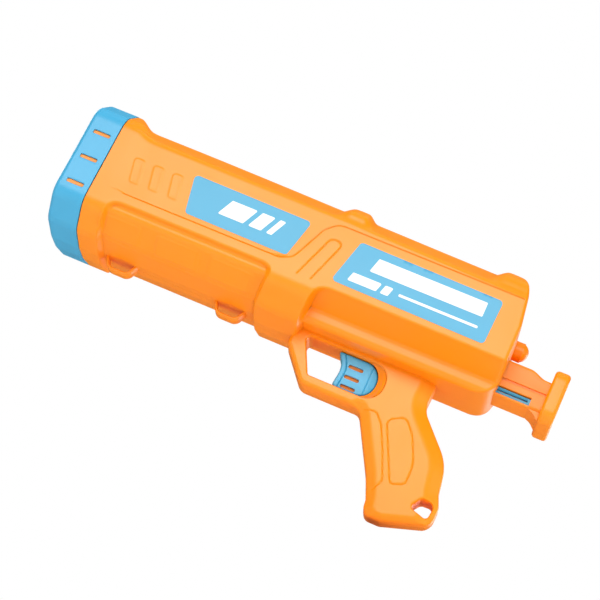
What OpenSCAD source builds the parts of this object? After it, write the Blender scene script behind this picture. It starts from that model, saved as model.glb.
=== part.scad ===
// Hand-held ball launcher for dogs: a hollow two-half body with pistol grip and trigger guard,
// a wide ball barrel, a spring-driven plunger and a T-shaped pull handle at the rear.
// X runs from the muzzle to the rear, Y across, Z up. The origin is where the hand holds the grip.

/* [Ball path] */
// Diameter of the largest ball that is launched
ball_d = 66; // [62:0.5:67]
// Radial room between the ball and the bore
ball_room = 1; // [0.5:0.1:1.5]
// Wall of the ball barrel and the plunger tube
tube_wall = 2.5; // [2:0.1:2.8]
// Length of the ball barrel
barrel_len = 158; // [150:1:162]

/* [Body] */
// Length from the front of the muzzle cap to the rear wall
body_len = 352; // [346:1:360]
// Wall of the body halves
wall = 2.6; // [2.2:0.1:3]
// Half width of the body at its widest edge
side_w = 57; // [56:0.5:59]
// Lean of each side inward up to the shoulder
side_lean = 3.6; // [3:0.1:4.2]
// Step from the collars down to the plain sides
panel_step = 0.8; // [0.5:0.1:1.2]
// Height of the collars' top above the bore axis
collar_top = 51; // [50:0.5:53]
// Depth of the collars' bottom below the bore axis
collar_bottom = 58.5; // [57.5:0.5:60.5]
// Height of the two low humps on the top above the bore axis
hump_top = 46.8; // [46:0.2:48.4]
// Height of the barrel's plain top above the bore axis
plain_top = 43; // [42.5:0.1:44]
// Depth of the recessed fore-end below the bore axis
fore_bottom = 53.5; // [53:0.5:55]
// Height at which the side facets end, below the bore axis
facet_low = 28.5; // [27:0.5:30]
// Depth of the receiver's keel below the bore axis
keel_bottom = 50; // [49.5:0.5:52]
// Half width of the keel
keel_w = 32; // [30:0.5:34]

/* [Muzzle cap] */
// Length of the cap along the bore
cap_len = 25; // [24:0.5:27]
// Radius of the funnel at the front face
funnel_r = 45; // [43:0.5:46]
// Distance from the front face to the barrel's mouth
funnel_len = 14; // [12:0.5:15]
// Height of each slot in the cap's sides
cap_slot_h = 3.2; // [2:0.1:3.4]
// Length of each slot in the cap's sides
cap_slot_len = 13.5; // [12:0.5:14]
// Spacing of the slots
cap_slot_pitch = 21.6; // [20:0.2:22]

/* [Guard and grip] */
// Depth of the grip's bottom below the bore axis
grip_bottom = 158.4; // [156:0.2:162]
// Thickness of the trigger guard and the grip
frame_t = 28; // [26:0.5:32]
// Bevel of their outer edges
frame_edge = 5; // [3:0.5:5.5]
// Width of the strap loops
loop_w = 11; // [8:0.5:14]
// Thickness of the strap loops
loop_t = 2.2; // [2:0.1:2.8]
// Room for a strap between loop and barrel
strap_room = 6.2; // [5:0.1:6.6]

/* [Pull handle] */
// Height of the handle's neck
neck_h = 29; // [28.5:0.1:30]
// Width of the handle's neck
neck_w = 28; // [26:0.5:30]
// Depth of the neck's top below the bore axis
neck_top = 12; // [11.8:0.1:12.4]
// Free length of the neck behind the body
neck_len = 32; // [30:0.5:40]
// Dip of the neck's top before the T-plate
neck_dip = 4; // [3:0.5:5]
// Height of the T-plate
plate_h = 42; // [38:0.5:44]
// Width of the T-plate
plate_w = 54; // [50:0.5:60]
// Thickness of the T-plate
plate_t = 11.5; // [10:0.5:13]

/* [Plunger and springs] */
// Diameter of the plunger rod
rod_d = 14.8; // [14:0.1:15]
// Length of the rod's rounded tail behind the body
tail_len = 8.5; // [8:0.5:10]
// Wire of the main spring
spring_wire = 2; // [1.8:0.1:2.1]
// Turns of the main spring
spring_turns = 15; // [12:1:18]
// Thickness of the pulling slide under the tube
slide_t = 4.6; // [4:0.1:4.8]
// Width of the pulling slide
slide_w = 24; // [20:0.5:25]

/* [Trigger] */
// Width of the trigger
trigger_w = 15; // [13:0.5:16]
// Length of the trigger from its front edge to its round back
trigger_len = 34.5; // [33:0.5:36]
// Travel of the trigger
trigger_travel = 4.5; // [4:0.1:4.8]
// Diameter of the sear's pin
sear_pin_d = 4; // [3:0.1:4.4]

/* [Fits] */
// Gap between sliding parts
slide_gap = 0.3; // [0.25:0.05:0.4]
// Radial gap of seats, pins and screws
seat_gap = 0.05; // [0.03:0.01:0.08]
// Gap between the cap and the body's spigot
spigot_gap = 0.15; // [0.1:0.05:0.25]

/* [Hidden] */
$fn = 64;
eps = 0.01;
far = 400;

orange = "darkorange";
sky = "deepskyblue";
steel = "silver";
dark = "dimgray";

// Places along X, from the cap's front
bore_r = ball_d / 2 + ball_room;
tube_r = bore_r + tube_wall;
// The plunger tube is bored a little wider than the barrel
plunger_bore_r = bore_r + 0.4;
barrel_x = funnel_len;
tube_x = barrel_x + barrel_len;
cup_x = tube_x + 4;
cup_len = 24;
cup_back = cup_x + cup_len;
// The plunger travels through half of the room behind its cup, less the room at both ends
end_room = 10;
stroke = (body_len - cup_back) / 2 - end_room;
tube_end = cup_back + stroke + end_room;
rear_wall = 4;
rear_in = body_len - rear_wall;
hoop_x = tube_x + 15;
receiver_x = hoop_x;
plate_x = body_len + neck_len;
// The slide's step stops at the rear wall, and the neck starts behind it
rise_end = rear_in - slide_gap - stroke;
neck_x = rise_end + slide_gap;

// The hand's place on the grip
hold = [300, -100];
module place() translate([-hold[0], 0, -hold[1]]) children();

// Points and outlines
function unit(v) = v / norm(v);
function left(v) = [-v[1], v[0]];
function nextp(p, i) = p[(i + 1) % len(p)];
function prevp(p, i) = p[(i + len(p) - 1) % len(p)];
function edge_in(p, i) = unit(p[i] - prevp(p, i));
function edge_out(p, i) = unit(nextp(p, i) - p[i]);
// One corner of a counter-clockwise outline, moved inward by d
function inset_corner(p, i, d) =
    let (a = left(edge_in(p, i)), b = left(edge_out(p, i))) p[i] + d * (a + b) / (1 + a * b);
function inset(p, d) = [for (i = [0 : len(p) - 1]) inset_corner(p, i, d)];
function turn(p, i) =
    let (a = edge_in(p, i), b = edge_out(p, i)) atan2(a[0] * b[1] - a[1] * b[0], a * b);
function tangent(p, i, r) = abs(r * tan(turn(p, i) / 2));
// Outline with each corner drawn as an arc of radius r[i]
function filleted(p, r, step = 15) = [for (i = [0 : len(p) - 1])
    let (t = turn(p, i), c = inset_corner(p, i, sign(t) * r[i]), n = max(1, ceil(abs(t) / step)),
         from = p[i] - edge_in(p, i) * tangent(p, i, r[i]) - c)
    for (k = [0 : n]) c + [from[0] * cos(t * k / n) - from[1] * sin(t * k / n),
                           from[0] * sin(t * k / n) + from[1] * cos(t * k / n)]];

// Convex outline with true arcs at its corners
module rounded(p, r) {
    polygon([for (i = [0 : len(p) - 1]) for (s = [-1, 1])
        p[i] + (s < 0 ? -edge_in(p, i) : edge_out(p, i)) * tangent(p, i, r[i])]);
    for (i = [0 : len(p) - 1]) translate(inset_corner(p, i, r[i])) circle(r[i]);
}

// A section in Y and Z, drawn along X from x0 to x1
module along(x0, x1) translate([x0, 0, 0]) rotate([90, 0, 90]) linear_extrude(x1 - x0) children();
// A side view in X and Z, drawn through from y0 to y1
module across(y0, y1) translate([0, y1, 0]) rotate([90, 0, 0]) linear_extrude(y1 - y0) children();
// A round bar along X or along Y
module bar_x(r, x0, x1, z = 0) translate([x0, 0, z]) rotate([0, 90, 0]) cylinder(r = r, h = x1 - x0);
module bar_y(r, x, z, y0, y1) translate([x, y1, z]) rotate([90, 0, 0]) cylinder(r = r, h = y1 - y0);
module box(x, y, z) translate([x[0], y[0], z[0]]) cube([x[1] - x[0], y[1] - y[0], z[1] - z[0]]);

// Plate with a side view p and edges rounded by r, centred on Y = 0
module plate(p, t, r, steps = 3) {
    n = len(p);
    rings = [for (k = [0 : steps]) let (a = 90 * k / steps) [r * (1 - sin(a)), -t / 2 + r * (1 - cos(a))],
             for (k = [steps : -1 : 0]) let (a = 90 * k / steps) [r * (1 - sin(a)), t / 2 - r * (1 - cos(a))]];
    points = [for (g = rings) let (q = inset(p, g[0])) for (c = q) [c[0], g[1], c[1]]];
    sides = [for (k = [0 : len(rings) - 2]) for (i = [0 : n - 1]) let (j = (i + 1) % n)
        each [[k * n + i, k * n + j, (k + 1) * n + i], [k * n + j, (k + 1) * n + j, (k + 1) * n + i]]];
    polyhedron(points, concat([[for (i = [n - 1 : -1 : 0]) i]], sides,
        [[for (i = [0 : n - 1]) (len(rings) - 1) * n + i]]));
}

// Wire wound about the X axis, as one tube of triangles
function coil_point(r, x0, pitch, a) = [x0 + pitch * a / 360, r * cos(a), r * sin(a)];
module coil(r, wire, x0, x1, turns) {
    sides = 6;
    rings = 8 * turns;
    pitch = (x1 - x0 - wire) / turns;
    lead = atan(pitch / (2 * PI * r));
    points = [for (k = [0 : rings]) let (a = 45 * k, c = coil_point(r, x0 + wire / 2, pitch, a),
            out = [0, cos(a), sin(a)], side = [cos(lead), sin(lead) * sin(a), -sin(lead) * cos(a)])
        for (s = [0 : sides - 1]) c + wire / 2 * (cos(60 * s) * out + sin(60 * s) * side)];
    walls = [for (k = [0 : rings - 1]) for (s = [0 : sides - 1])
        let (t = (s + 1) % sides, p = k * sides, q = p + sides)
        each [[p + s, p + t, q + s], [p + t, q + t, q + s]]];
    last = rings * sides;
    ends = [for (s = [1 : sides - 2]) each [[0, s + 1, s], [last, last + s, last + s + 1]]];
    polyhedron(points, concat(walls, ends));
    echo(str("least gap of this coil to itself, mm: ", pitch * cos(lead) - wire));
}

// Body sections in Y and Z, counter-clockwise, mirrored about Y = 0
function both_sides(h) = concat([for (p = h) p], [for (i = [len(h) - 1 : -1 : 0]) [-h[i][0], h[i][1]]]);
function twice(r) = concat(r, [for (i = [len(r) - 1 : -1 : 0]) r[i]]);
shoulder_drop = 16.5;
top_flat = 26;
low_corner = [20, 4];
collar_half = [[10, -collar_bottom], [side_w - low_corner[0], -collar_bottom + low_corner[1]],
    [side_w, -facet_low - 9.5], [side_w - side_lean, collar_top - shoulder_drop], [top_flat, collar_top]];
collar_r = [30, 14, 12, 12, 24];
plain_w = side_w - panel_step;
fore_in = 4.5;
fore_half = [[9, -fore_bottom], [33, -fore_bottom + 3.5], [side_w - fore_in, -facet_low - 7],
    [side_w - fore_in, -facet_low + 10]];
keel_half = [[keel_w, -keel_bottom], [keel_w, -facet_low + 8]];
upper_half = [[30, -facet_low - 11.5], [plain_w, -facet_low], [plain_w - side_lean, plain_top - 16],
    [top_flat, plain_top]];

// A section moved inward by d: true arcs outside, short flats inside
module section(half, r, d) {
    p = inset(both_sides(half), d);
    corner_r = [for (k = twice(r)) max(k - d, 1)];
    if (d > 0) polygon(filleted(p, corner_r));
    else rounded(p, corner_r);
}
module collar_section(d = 0) section(collar_half, collar_r, d);
module fore_section(d = 0) section(fore_half, [24, 20, 6, 1], d);
module upper_section(d = 0) section(upper_half, [6, 3, 8, 16], d);
module keel_section(d = 0) section(keel_half, [5, 3], d);

// Side views of the places where the body keeps the collars' full section
collar_end = 40;
groove_z = -21;
shelf_z = 20;
panel_r = 9;
// Round upper corner of the recessed fore-end, filled in towards s
module panel_corner(x, s) translate([x, -facet_low]) difference() {
    polygon([[-s, 1], [s * panel_r, 1], [s * panel_r, -panel_r], [-s, -panel_r]]);
    translate([s * panel_r, -panel_r]) circle(panel_r);
}
module collar_areas() {
    polygon([[cap_len, collar_top + 5], [cap_len + 4, collar_top + 5], [collar_end, plain_top - 4],
        [collar_end - 4, plain_top - 16], [cap_len, shelf_z - 10]]);
    polygon([[cap_len, groove_z], [hoop_x - 14, groove_z], [hoop_x - 3, groove_z + 10],
        [hoop_x + 6, shelf_z - 8], [hoop_x + 15, shelf_z], [body_len, shelf_z], [body_len, -facet_low],
        [cap_len, -facet_low]]);
    polygon([[cap_len, -facet_low], [collar_end + 3, -facet_low], [collar_end - 1, -far], [cap_len, -far]]);
    polygon([[hoop_x - 14, -facet_low], [hoop_x + 21, -facet_low], [hoop_x + 9, -collar_bottom - 5],
        [hoop_x - 21, -collar_bottom - 5]]);
    for (b = [[hoop_x + 9, hoop_x + 17, hoop_x + 30, hoop_x + 36],
            [body_len - 38, body_len - 28, body_len, body_len]])
        polygon([[b[0], plain_top - 16], [b[3], plain_top - 16], [b[3], plain_top - 2],
            [b[2], hump_top], [b[1], hump_top], [b[0], plain_top - 2]]);
    panel_corner(collar_end + 3, 1);
    panel_corner(hoop_x - 14, -1);
}
// Side view of the body's end: round at the top and the bottom, and leaning forward above the bore axis
rear_lean = 6;
rear_span = 60;
rear_r = [15, 40, 18];
module rear_outline() {
    translate([0, -far]) square([receiver_x + rear_span, 2 * far]);
    rounded([[receiver_x, -keel_bottom], [body_len, -keel_bottom], [body_len, 0],
        [body_len - rear_lean, hump_top], [receiver_x, hump_top]], [1, rear_r[0], rear_r[1], rear_r[2], 1]);
}
module body_form() intersection() {
    union() {
        along(cap_len, receiver_x + 10) { upper_section(); fore_section(); }
        along(receiver_x, body_len) { upper_section(); keel_section(); }
        intersection() {
            along(cap_len, body_len) collar_section();
            across(-far, far) collar_areas();
        }
    }
    across(-far, far) rear_outline();
}
module body_cavity() intersection() {
    union() {
        along(cap_len - eps, receiver_x - wall) { upper_section(wall); fore_section(wall); }
        along(receiver_x + wall, rear_in) { upper_section(wall); keel_section(wall); }
    }
    across(-far, far) translate([-rear_wall, 0]) rear_outline();
}

// Guard and grip, as one side view from the front strut round to the grip's back
guard_low = keel_bottom + 39;
guard_bar = 8.5;
frame_top = -keel_bottom + 4;
frame_p = [[196, frame_top], [197, -keel_bottom - 14], [218, -guard_low], [264.8, -guard_low], [287.8, -130],
    [298, -grip_bottom], [310, -grip_bottom], [344.4, 11.4 - grip_bottom], [343.4, 27.4 - grip_bottom],
    [337.5, -101], [308, -70], [309, frame_top]];
frame_r = [6, 6.5, 9, 8, 60, 10, 8, 9, 9, 60, 16, 6];
roof_z = -keel_bottom - 3;
bar_z0 = -guard_low + guard_bar;
blade_x = 234;
trigger_back = blade_x + trigger_len;
sear_x = trigger_back + 25.5;
// The opening for the finger ends behind the trigger; a pocket for its travel and a recess run on inside
pocket_back = trigger_back + trigger_travel + slide_gap;
recess_back = pocket_back + 1.2;
recess_floor = 1.5;
function finger_line(back) = filleted([[finger_x[0], roof_z], [finger_x[1], bar_z0], [back, bar_z0],
    [back, roof_z]], [4, 3, finger_r, finger_r]);
finger_x = [207, 220.5];
finger_r = 12.6;
hole_z = 18.4 - grip_bottom;
hole_p = [[324, hole_z], [339.5, hole_z - 3.8], [341, hole_z + 8], [331, hole_z + 8]];
hole_r = [3, 3, 4, 4];
inlay_p = [[309, -132], [317, -126], [316, -102], [296, -84], [288, -90]];
inlay_r = [4, 6, 24, 5, 5];
inlay_depth = 0.8;
grip_x = sear_x - 24;
// Bevelled edges of that side view: the corner each starts from, and how far it runs past both of its corners
frame_bevels = [[1, 3, 3], [2, 3, -7], [3, -6, 0], [4, 0, 4], [6, 3, 4], [7, 4, 4], [8, 4, 4], [9, 4, -7],
    [10, -7, 0]];
module edge_bevel(i, before, after) {
    a = frame_p[i];
    b = nextp(frame_p, i);
    spare = 1;
    reach = frame_edge + spare;
    slope = atan2(b[1] - a[1], b[0] - a[0]);
    for (s = [-1, 1]) translate([a[0], s * frame_t / 2, a[1]]) rotate([0, -slope, 0])
        along(-before, norm(b - a) + after)
            polygon([[s * spare, -spare], [-s * reach, -spare], [s * spare, reach]]);
}
module frame_form() difference() {
    across(-frame_t / 2, frame_t / 2) polygon(filleted(frame_p, frame_r));
    for (e = frame_bevels) edge_bevel(e[0], e[1], e[2]);
}
module frame_cavity() difference() {
    across(-frame_t / 2 + wall, frame_t / 2 - wall)
        polygon(inset(filleted(frame_p, frame_r), wall + frame_edge / 2));
    across(-far, far) polygon(inset(filleted(hole_p, hole_r), -wall));
    across(-far, far) polygon(inset(finger_line(recess_back), -wall));
    box([0, far], [-far, far], [-keel_bottom - 4, far]);
    box([0, grip_x], [-far, far], [-far, far]);
}

// Strap loops under the fore-end
loop_x = [collar_end + 17, tube_x - 26];
loop_len = 29;
module strap_loop(x) {
    low = fore_bottom + strap_room + loop_t;
    p = [[x - loop_len / 2, -fore_bottom + 4], [x - loop_len / 2 + 6, -low], [x + loop_len / 2 - 6, -low],
        [x + loop_len / 2, -fore_bottom + 4]];
    across(-loop_w / 2, loop_w / 2) difference() {
        polygon(filleted(p, [1, 4, 4, 1]));
        polygon(filleted(inset(p, loop_t), [1, 2, 2, 1]));
    }
}

// Screws through both halves, as places in X and Z
screw_at = [[72, 8.5 - fore_bottom], [128, 8.5 - fore_bottom], [hoop_x, 10.2 - collar_bottom],
    [body_len - 34, 29], [body_len - 18, 29], [291, -114], [312, 12.4 - grip_bottom]];
screw_r = 1.5;
head_r = 3;
head_t = 2.4;
head_gap = 0.3;
screw_len = 20;
head_seat = 9;
boss_r = 4;
sear_at = [sear_x, -54];
sear_boss_r = sear_pin_d / 2 + 2.2;
sear_room = 5.6;

// Ribs that carry the tubes, the slide, the pin and the screws inside the body
rib_t = 2.4;
tube_ribs = [collar_end + 6, 108, tube_x - 14, tube_x + 6, tube_end - rib_t - slide_gap];
slide_top = tube_r + 0.6;
slide_low = slide_top + slide_t;
track_x = [receiver_x + 30, rear_in + 1];
track_y = 10.6;
module ribs() {
    for (x = tube_ribs) box([x, x + rib_t], [-far, far], [x < receiver_x ? -far : -keel_bottom, far]);
    for (s = screw_at) bar_y(boss_r, s[0], s[1], -far, far);
    for (y = [-track_y, track_y])
        box(track_x, [y - rib_t / 2, y + rib_t / 2], [-keel_bottom, -slide_low - slide_gap]);
    box([spring_stop, spring_stop + 3], [-far, far], [trigger_spring_z - 5, trigger_spring_z + 3.5]);
    for (y = [[sear_room, far], [-far, -sear_room]]) bar_y(sear_boss_r, sear_at[0], sear_at[1], y[0], y[1]);
}

// Everything that is cut out of the closed body
slot_lead = 4;
sear_clear = 6;
slot_x = [blade_x + slot_lead, sear_at[0] + sear_clear];
blade_w = trigger_w - 5;
trigger_room = trigger_w / 2 + slide_gap;
module body_cuts() {
    bar_x(tube_r + seat_gap, 0, tube_end + 1);
    box([neck_x - 1, body_len + 1], [-neck_w / 2 - slide_gap, neck_w / 2 + slide_gap],
        [-neck_top - neck_h - slide_gap, -neck_top + slide_gap]);
    box([tube_x - 5, rear_in + 1], [-slide_w / 2 - slide_gap, slide_w / 2 + slide_gap],
        [-slide_low - slide_gap, -slide_top + slide_gap]);
    bar_x(seat_r + seat_gap, tube_end, rear_in);
    bar_x(rod_d / 2 + slide_gap, rear_in - 1, body_len + 1);
    box(slot_x, [-blade_w / 2 - slide_gap, blade_w / 2 + slide_gap], [-keel_bottom - 10, -slide_low]);
    box([push_x, sear_at[0]], [-push_w / 2 - slide_gap, push_w / 2 + slide_gap],
        [push_z - push_h / 2 - slide_gap, push_z + push_h / 2 + slide_gap]);
    bar_x(pocket_r, push_x, spring_stop, trigger_spring_z);
    across(-far, far) polygon(finger_line(trigger_back + slide_gap));
    across(-trigger_room, trigger_room) polygon(finger_line(pocket_back));
    for (y = [[trigger_room + recess_floor, far], [-far, -trigger_room - recess_floor]])
        across(y[0], y[1]) polygon(finger_line(recess_back));
    across(-far, far) polygon(filleted(hole_p, hole_r));
    bar_y(sear_pin_d / 2 + seat_gap, sear_at[0], sear_at[1], -sear_room - 4, sear_room + 4);
    for (s = screw_at) {
        bar_y(screw_r + seat_gap, s[0], s[1], head_seat - screw_len - 1, head_seat + 1);
        bar_y(head_r + head_gap, s[0], s[1], head_seat, far);
    }
    inlay_y = frame_t / 2 - inlay_depth;
    for (y = [[inlay_y, far], [-far, -inlay_y]]) across(y[0], y[1]) polygon(filleted(inlay_p, inlay_r));
}
// The open spigot that the muzzle cap fits over
spigot_x = 5;
module spigot() difference() {
    along(spigot_x, cap_len + 3) collar_section(wall + spigot_gap);
    along(spigot_x - 1, cap_len + 4) collar_section(2 * wall + spigot_gap);
}
// Raised slanted pads beside the muzzle and the rib on the mid collar
pad_x = [43, 58.5, 74];
pad_z = [-11, 10];
pad_w = 9;
pad_slant = 5;
pad_rise = 0.6;
rib_p = [[hoop_x + 1.5, -facet_low], [hoop_x + 11.5, -facet_low], [hoop_x + 24, 7], [hoop_x + 14, 7]];
module side_pads() for (s = [-1, 1]) intersection() {
    along(cap_len, body_len) collar_section(-pad_rise);
    across(s > 0 ? 0 : -far, s > 0 ? far : 0) {
        for (x = pad_x) polygon(filleted([[x + pad_slant, pad_z[0]], [x + pad_slant + pad_w, pad_z[0]],
            [x + pad_w, pad_z[1]], [x, pad_z[1]]], [3, 3, 3, 3]));
        polygon(filleted(rib_p, [1, 1, 4, 4]));
    }
}
module whole_body() {
    difference() {
        union() { body_form(); frame_form(); side_pads(); }
        difference() {
            union() { body_cavity(); frame_cavity(); }
            ribs();
        }
        body_cuts();
    }
    spigot();
    for (x = loop_x) strap_loop(x);
}

module left_shell() place() color(orange) intersection() {
    whole_body();
    box([-1, far], [-far, 0], [-far, far]);
}
module right_shell() place() color(orange) intersection() {
    whole_body();
    box([-1, far], [0, far], [-far, far]);
}

// Blue cap over the front of the body, with a funnel into the barrel
cap_slot_x = 6.4;
cap_slot_z = -5.5;
module muzzle_cap() place() color(sky) difference() {
    union() {
        difference() {
            along(0, cap_len) collar_section();
            along(spigot_x - 0.5, cap_len + 1) collar_section(wall);
        }
        bar_x(tube_r + seat_gap + wall, 0, cap_len - 1);
        rotate([0, 90, 0]) cylinder(r1 = funnel_r + wall, r2 = tube_r, h = funnel_len);
    }
    translate([-eps, 0, 0]) rotate([0, 90, 0]) cylinder(r1 = funnel_r, r2 = bore_r, h = funnel_len + 2 * eps);
    bar_x(tube_r + seat_gap, barrel_x, cap_len);
    for (s = [-1, 1]) across(s > 0 ? side_w - 8 : -far, s > 0 ? far : 8 - side_w)
        for (k = [-1 : 1]) translate([cap_slot_x, k * cap_slot_pitch + cap_slot_z - cap_slot_h / 2])
            square([cap_slot_len, cap_slot_h]);
}

module ball_barrel() place() color(orange) difference() {
    bar_x(tube_r, barrel_x, tube_x);
    bar_x(bore_r, barrel_x - 1, tube_x + 1);
}
// Slotted below for the slide's hook
hook_w = 9;
hook_x = cup_back;
hook_len = 6;
module plunger_tube() place() color(orange) difference() {
    bar_x(tube_r, tube_x, tube_end);
    bar_x(plunger_bore_r, tube_x - 1, tube_end + 1);
    box([hook_x - 2, tube_end + 1], [-hook_w / 2 - 1, hook_w / 2 + 1], [-tube_r - 1, 0]);
}

// Cup that pushes the ball, with its soft pad
cup_r = plunger_bore_r - slide_gap;
cup_floor = cup_x + 20;
rod_seat = cup_floor + 1;
pad_t = 3;
pad_r = 22;
module plunger_cup() place() color(sky) difference() {
    bar_x(cup_r, cup_x, cup_back);
    translate([cup_x - 14, 0, 0]) sphere(r = ball_d / 2 - 2, $fn = 64);
    bar_x(pad_r, cup_x, cup_floor);
    difference() {
        bar_x(cup_r - 3, rod_seat + 1.5, cup_back + 1);
        bar_x(rod_d / 2 + 3, cup_x, cup_back + 2);
    }
    bar_x(rod_d / 2 + seat_gap, rod_seat, cup_back + 1);
}
module cup_pad() place() color(dark) bar_x(pad_r - seat_gap, cup_floor - pad_t, cup_floor);

module plunger_rod() place() color(orange) difference() {
    union() {
        bar_x(rod_d / 2, rod_seat, body_len + tail_len - rod_d / 2 + 3);
        intersection() {
            translate([body_len + tail_len - rod_d / 2, 0, 0]) sphere(r = rod_d / 2);
            box([body_len, far], [-far, far], [-far, far]);
        }
    }
    bar_x(rod_d / 2 - 2.4, cup_floor, body_len - 10);
}

// Slide that ties the handle to the cup: low under the tube, higher behind it
rise_x = tube_end + 1;
high_top = 34;
high_low = high_top + slide_t;
slide_end = plate_x - 9;
nose_x = sear_at[0] - 15;
notch_x = nose_x - stroke - 4;
module cocking_slide() place() color(sky) difference() {
    union() {
        box([hook_x, rise_end], [-slide_w / 2, slide_w / 2], [-slide_low, -slide_top]);
        box([rise_x, rise_end], [-slide_w / 2, slide_w / 2], [-slide_low, -high_top]);
        box([rise_x, slide_end], [-slide_w / 2, slide_w / 2], [-high_low, -high_top]);
        box([hook_x, hook_x + hook_len], [-hook_w / 2, hook_w / 2], [-slide_low, -rod_d / 2 - 5]);
    }
    box([notch_x, notch_x + 9], [-sear_room, sear_room], [-slide_low - 1, -slide_low + 2.6]);
    for (x = handle_screw_at) bar_z(screw_r + seat_gap, x, -high_low - 1, -high_top + 1);
}

// Pull handle: channelled neck and T-plate round the slide's end
plate_mid = -29;
plate_r = 10;
neck_low = neck_top + neck_h;
handle_screw_at = [body_len - 36, body_len - 16];
handle_screw_len = 14;
handle_head_t = 2;
head_low = neck_low - 0.2;
head_high = handle_head_t - head_low;
module bar_z(r, x, z0, z1) translate([x, 0, z0]) cylinder(r = r, h = z1 - z0);
module pull_handle() place() color(orange) difference() {
    union() {
        across(-neck_w / 2, neck_w / 2) polygon(filleted([[neck_x, -neck_low], [plate_x + 1, -neck_low],
            [plate_x + 1, -neck_top - neck_dip], [plate_x - 5, -neck_top - neck_dip], [plate_x - 16, -neck_top],
            [neck_x, -neck_top]], [1, 1, 1, 9, 9, 1]));
        along(plate_x, plate_x + plate_t) rounded(both_sides([[plate_w / 2, plate_mid - plate_h / 2],
            [plate_w / 2, plate_mid + plate_h / 2]]), [plate_r, plate_r, plate_r, plate_r]);
        across(-neck_w / 2, neck_w / 2) polygon([[plate_x - 9, -neck_low + 1], [plate_x - 9, -neck_low],
            [plate_x - 4, -neck_low - 2], [plate_x, -neck_low - 6], [plate_x + 1, -neck_low + 1]]);
    }
    box([neck_x - 1, slide_end + slide_gap], [-slide_w / 2 - slide_gap, slide_w / 2 + slide_gap],
        [-high_low - slide_gap, -high_top + slide_gap]);
    for (y = [-1, 1]) {
        box([body_len - 5, slide_end], y > 0 ? [slide_w / 2 - 1, far] : [-far, 1 - slide_w / 2],
            [-high_low - slide_gap, -high_top + slide_gap]);
        box([neck_x - 1, plate_x - 3], y > 0 ? [neck_w / 2 - 1, far] : [-far, 1 - neck_w / 2],
            [-neck_top - 16.5, -neck_top - 14.5]);
    }
    for (x = handle_screw_at) {
        bar_z(screw_r + seat_gap, x, -neck_low - 1, head_high + handle_screw_len);
        bar_z(head_r + head_gap, x, -neck_low - 1, head_high);
    }
}
module screw_z(x) {
    bar_z(head_r, x, -head_low, head_high);
    bar_z(screw_r, x, head_high - eps, head_high + handle_screw_len - 0.5);
}
module handle_screws() place() color(steel) for (x = handle_screw_at) screw_z(x);

// Main spring between the cup's hub and the seat at the rear wall
seat_len = 10;
seat_r = rod_d / 2 + 4;
main_r = rod_d / 2 + 1 + spring_wire / 2;
module main_spring() place() color(steel)
    coil(main_r, spring_wire, cup_back + slide_gap, rear_in - seat_len - slide_gap, spring_turns);
module spring_seat() place() color(dark) difference() {
    bar_x(seat_r, rear_in - seat_len, rear_in);
    bar_x(rod_d / 2 + slide_gap, rear_in - seat_len - 1, rear_in + 1);
}
// Rubber block that stops the slide at the end of a shot
bumper_len = 9;
module slide_bumper() place() color(dark)
    box([hook_x - slide_gap - bumper_len, hook_x - slide_gap], [-9, 9], [wall - keel_bottom, -tube_r - 1.5]);

// Trigger: curved blade below the roof, neck through it and a flange that slides above it
flange_z = wall - keel_bottom + slide_gap;
trigger_top = roof_z - 0.4;
trigger_low = bar_z0 + 0.5;
hook_in = 6.5;
hook_drop = 10.6;
toe_in = 4.5;
trigger_p = [[blade_x, trigger_top], [blade_x + hook_in, trigger_top - hook_drop],
    [blade_x + toe_in, trigger_low], [trigger_back, trigger_low], [trigger_back, trigger_top]];
back_r = finger_r - slide_gap;
trigger_r = [1.2, 20, 2.5, back_r, back_r];
blade_slot_at = 10.5;
blade_slot_len = 11.5;
blade_slot_h = 3;
blade_slot_d = 2;
blade_slot_drop = 9.5;
blade_slot_pitch = 8.2;
blade_neck_at = 12;
blade_neck_len = 15;
flange_at = 10;
flange_len = 24;
flange_t = 2.5;
flange_w = 3.5;
push_w = 5;
push_h = 4;
push_z = -65.5;
push_end = sear_at[0] - 3.5;
trigger_spring_z = -73.5;
trigger_spring_r = 2.4;
pocket_r = trigger_spring_r + 0.8;
pocket_len = 13.5;
pocket_x = trigger_back - pocket_len;
push_x = trigger_back - 6.5;
stop_gap = 15.5;
spring_stop = trigger_back + stop_gap;
module trigger() place() color(sky) difference() {
    union() {
        plate(filleted(trigger_p, trigger_r), trigger_w, 1);
        box([blade_x + blade_neck_at, blade_x + blade_neck_at + blade_neck_len], [-blade_w / 2, blade_w / 2],
            [trigger_top - 2, flange_z + 1]);
        box([blade_x + flange_at, blade_x + flange_at + flange_len],
            [-blade_w / 2 - flange_w, blade_w / 2 + flange_w], [flange_z, flange_z + flange_t]);
        box([pocket_x, push_end], [-push_w / 2, push_w / 2], [push_z - push_h / 2, push_z + push_h / 2]);
    }
    for (y = [-1, 1]) for (k = [0 : 2])
        across(y > 0 ? trigger_w / 2 - blade_slot_d : -far, y > 0 ? far : blade_slot_d - trigger_w / 2)
            translate([blade_x + blade_slot_at, trigger_top - blade_slot_drop - k * blade_slot_pitch])
                polygon(filleted([[0, 0], [blade_slot_len, 0], [blade_slot_len, blade_slot_h],
                    [0, blade_slot_h]], [1.2, 1.2, 1.2, 1.2]));
    bar_x(pocket_r, pocket_x, trigger_back + 1, trigger_spring_z);
}
module trigger_spring() place() color(steel) translate([0, 0, trigger_spring_z])
    coil(trigger_spring_r, 0.8, pocket_x + slide_gap, spring_stop - slide_gap, 9);

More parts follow.
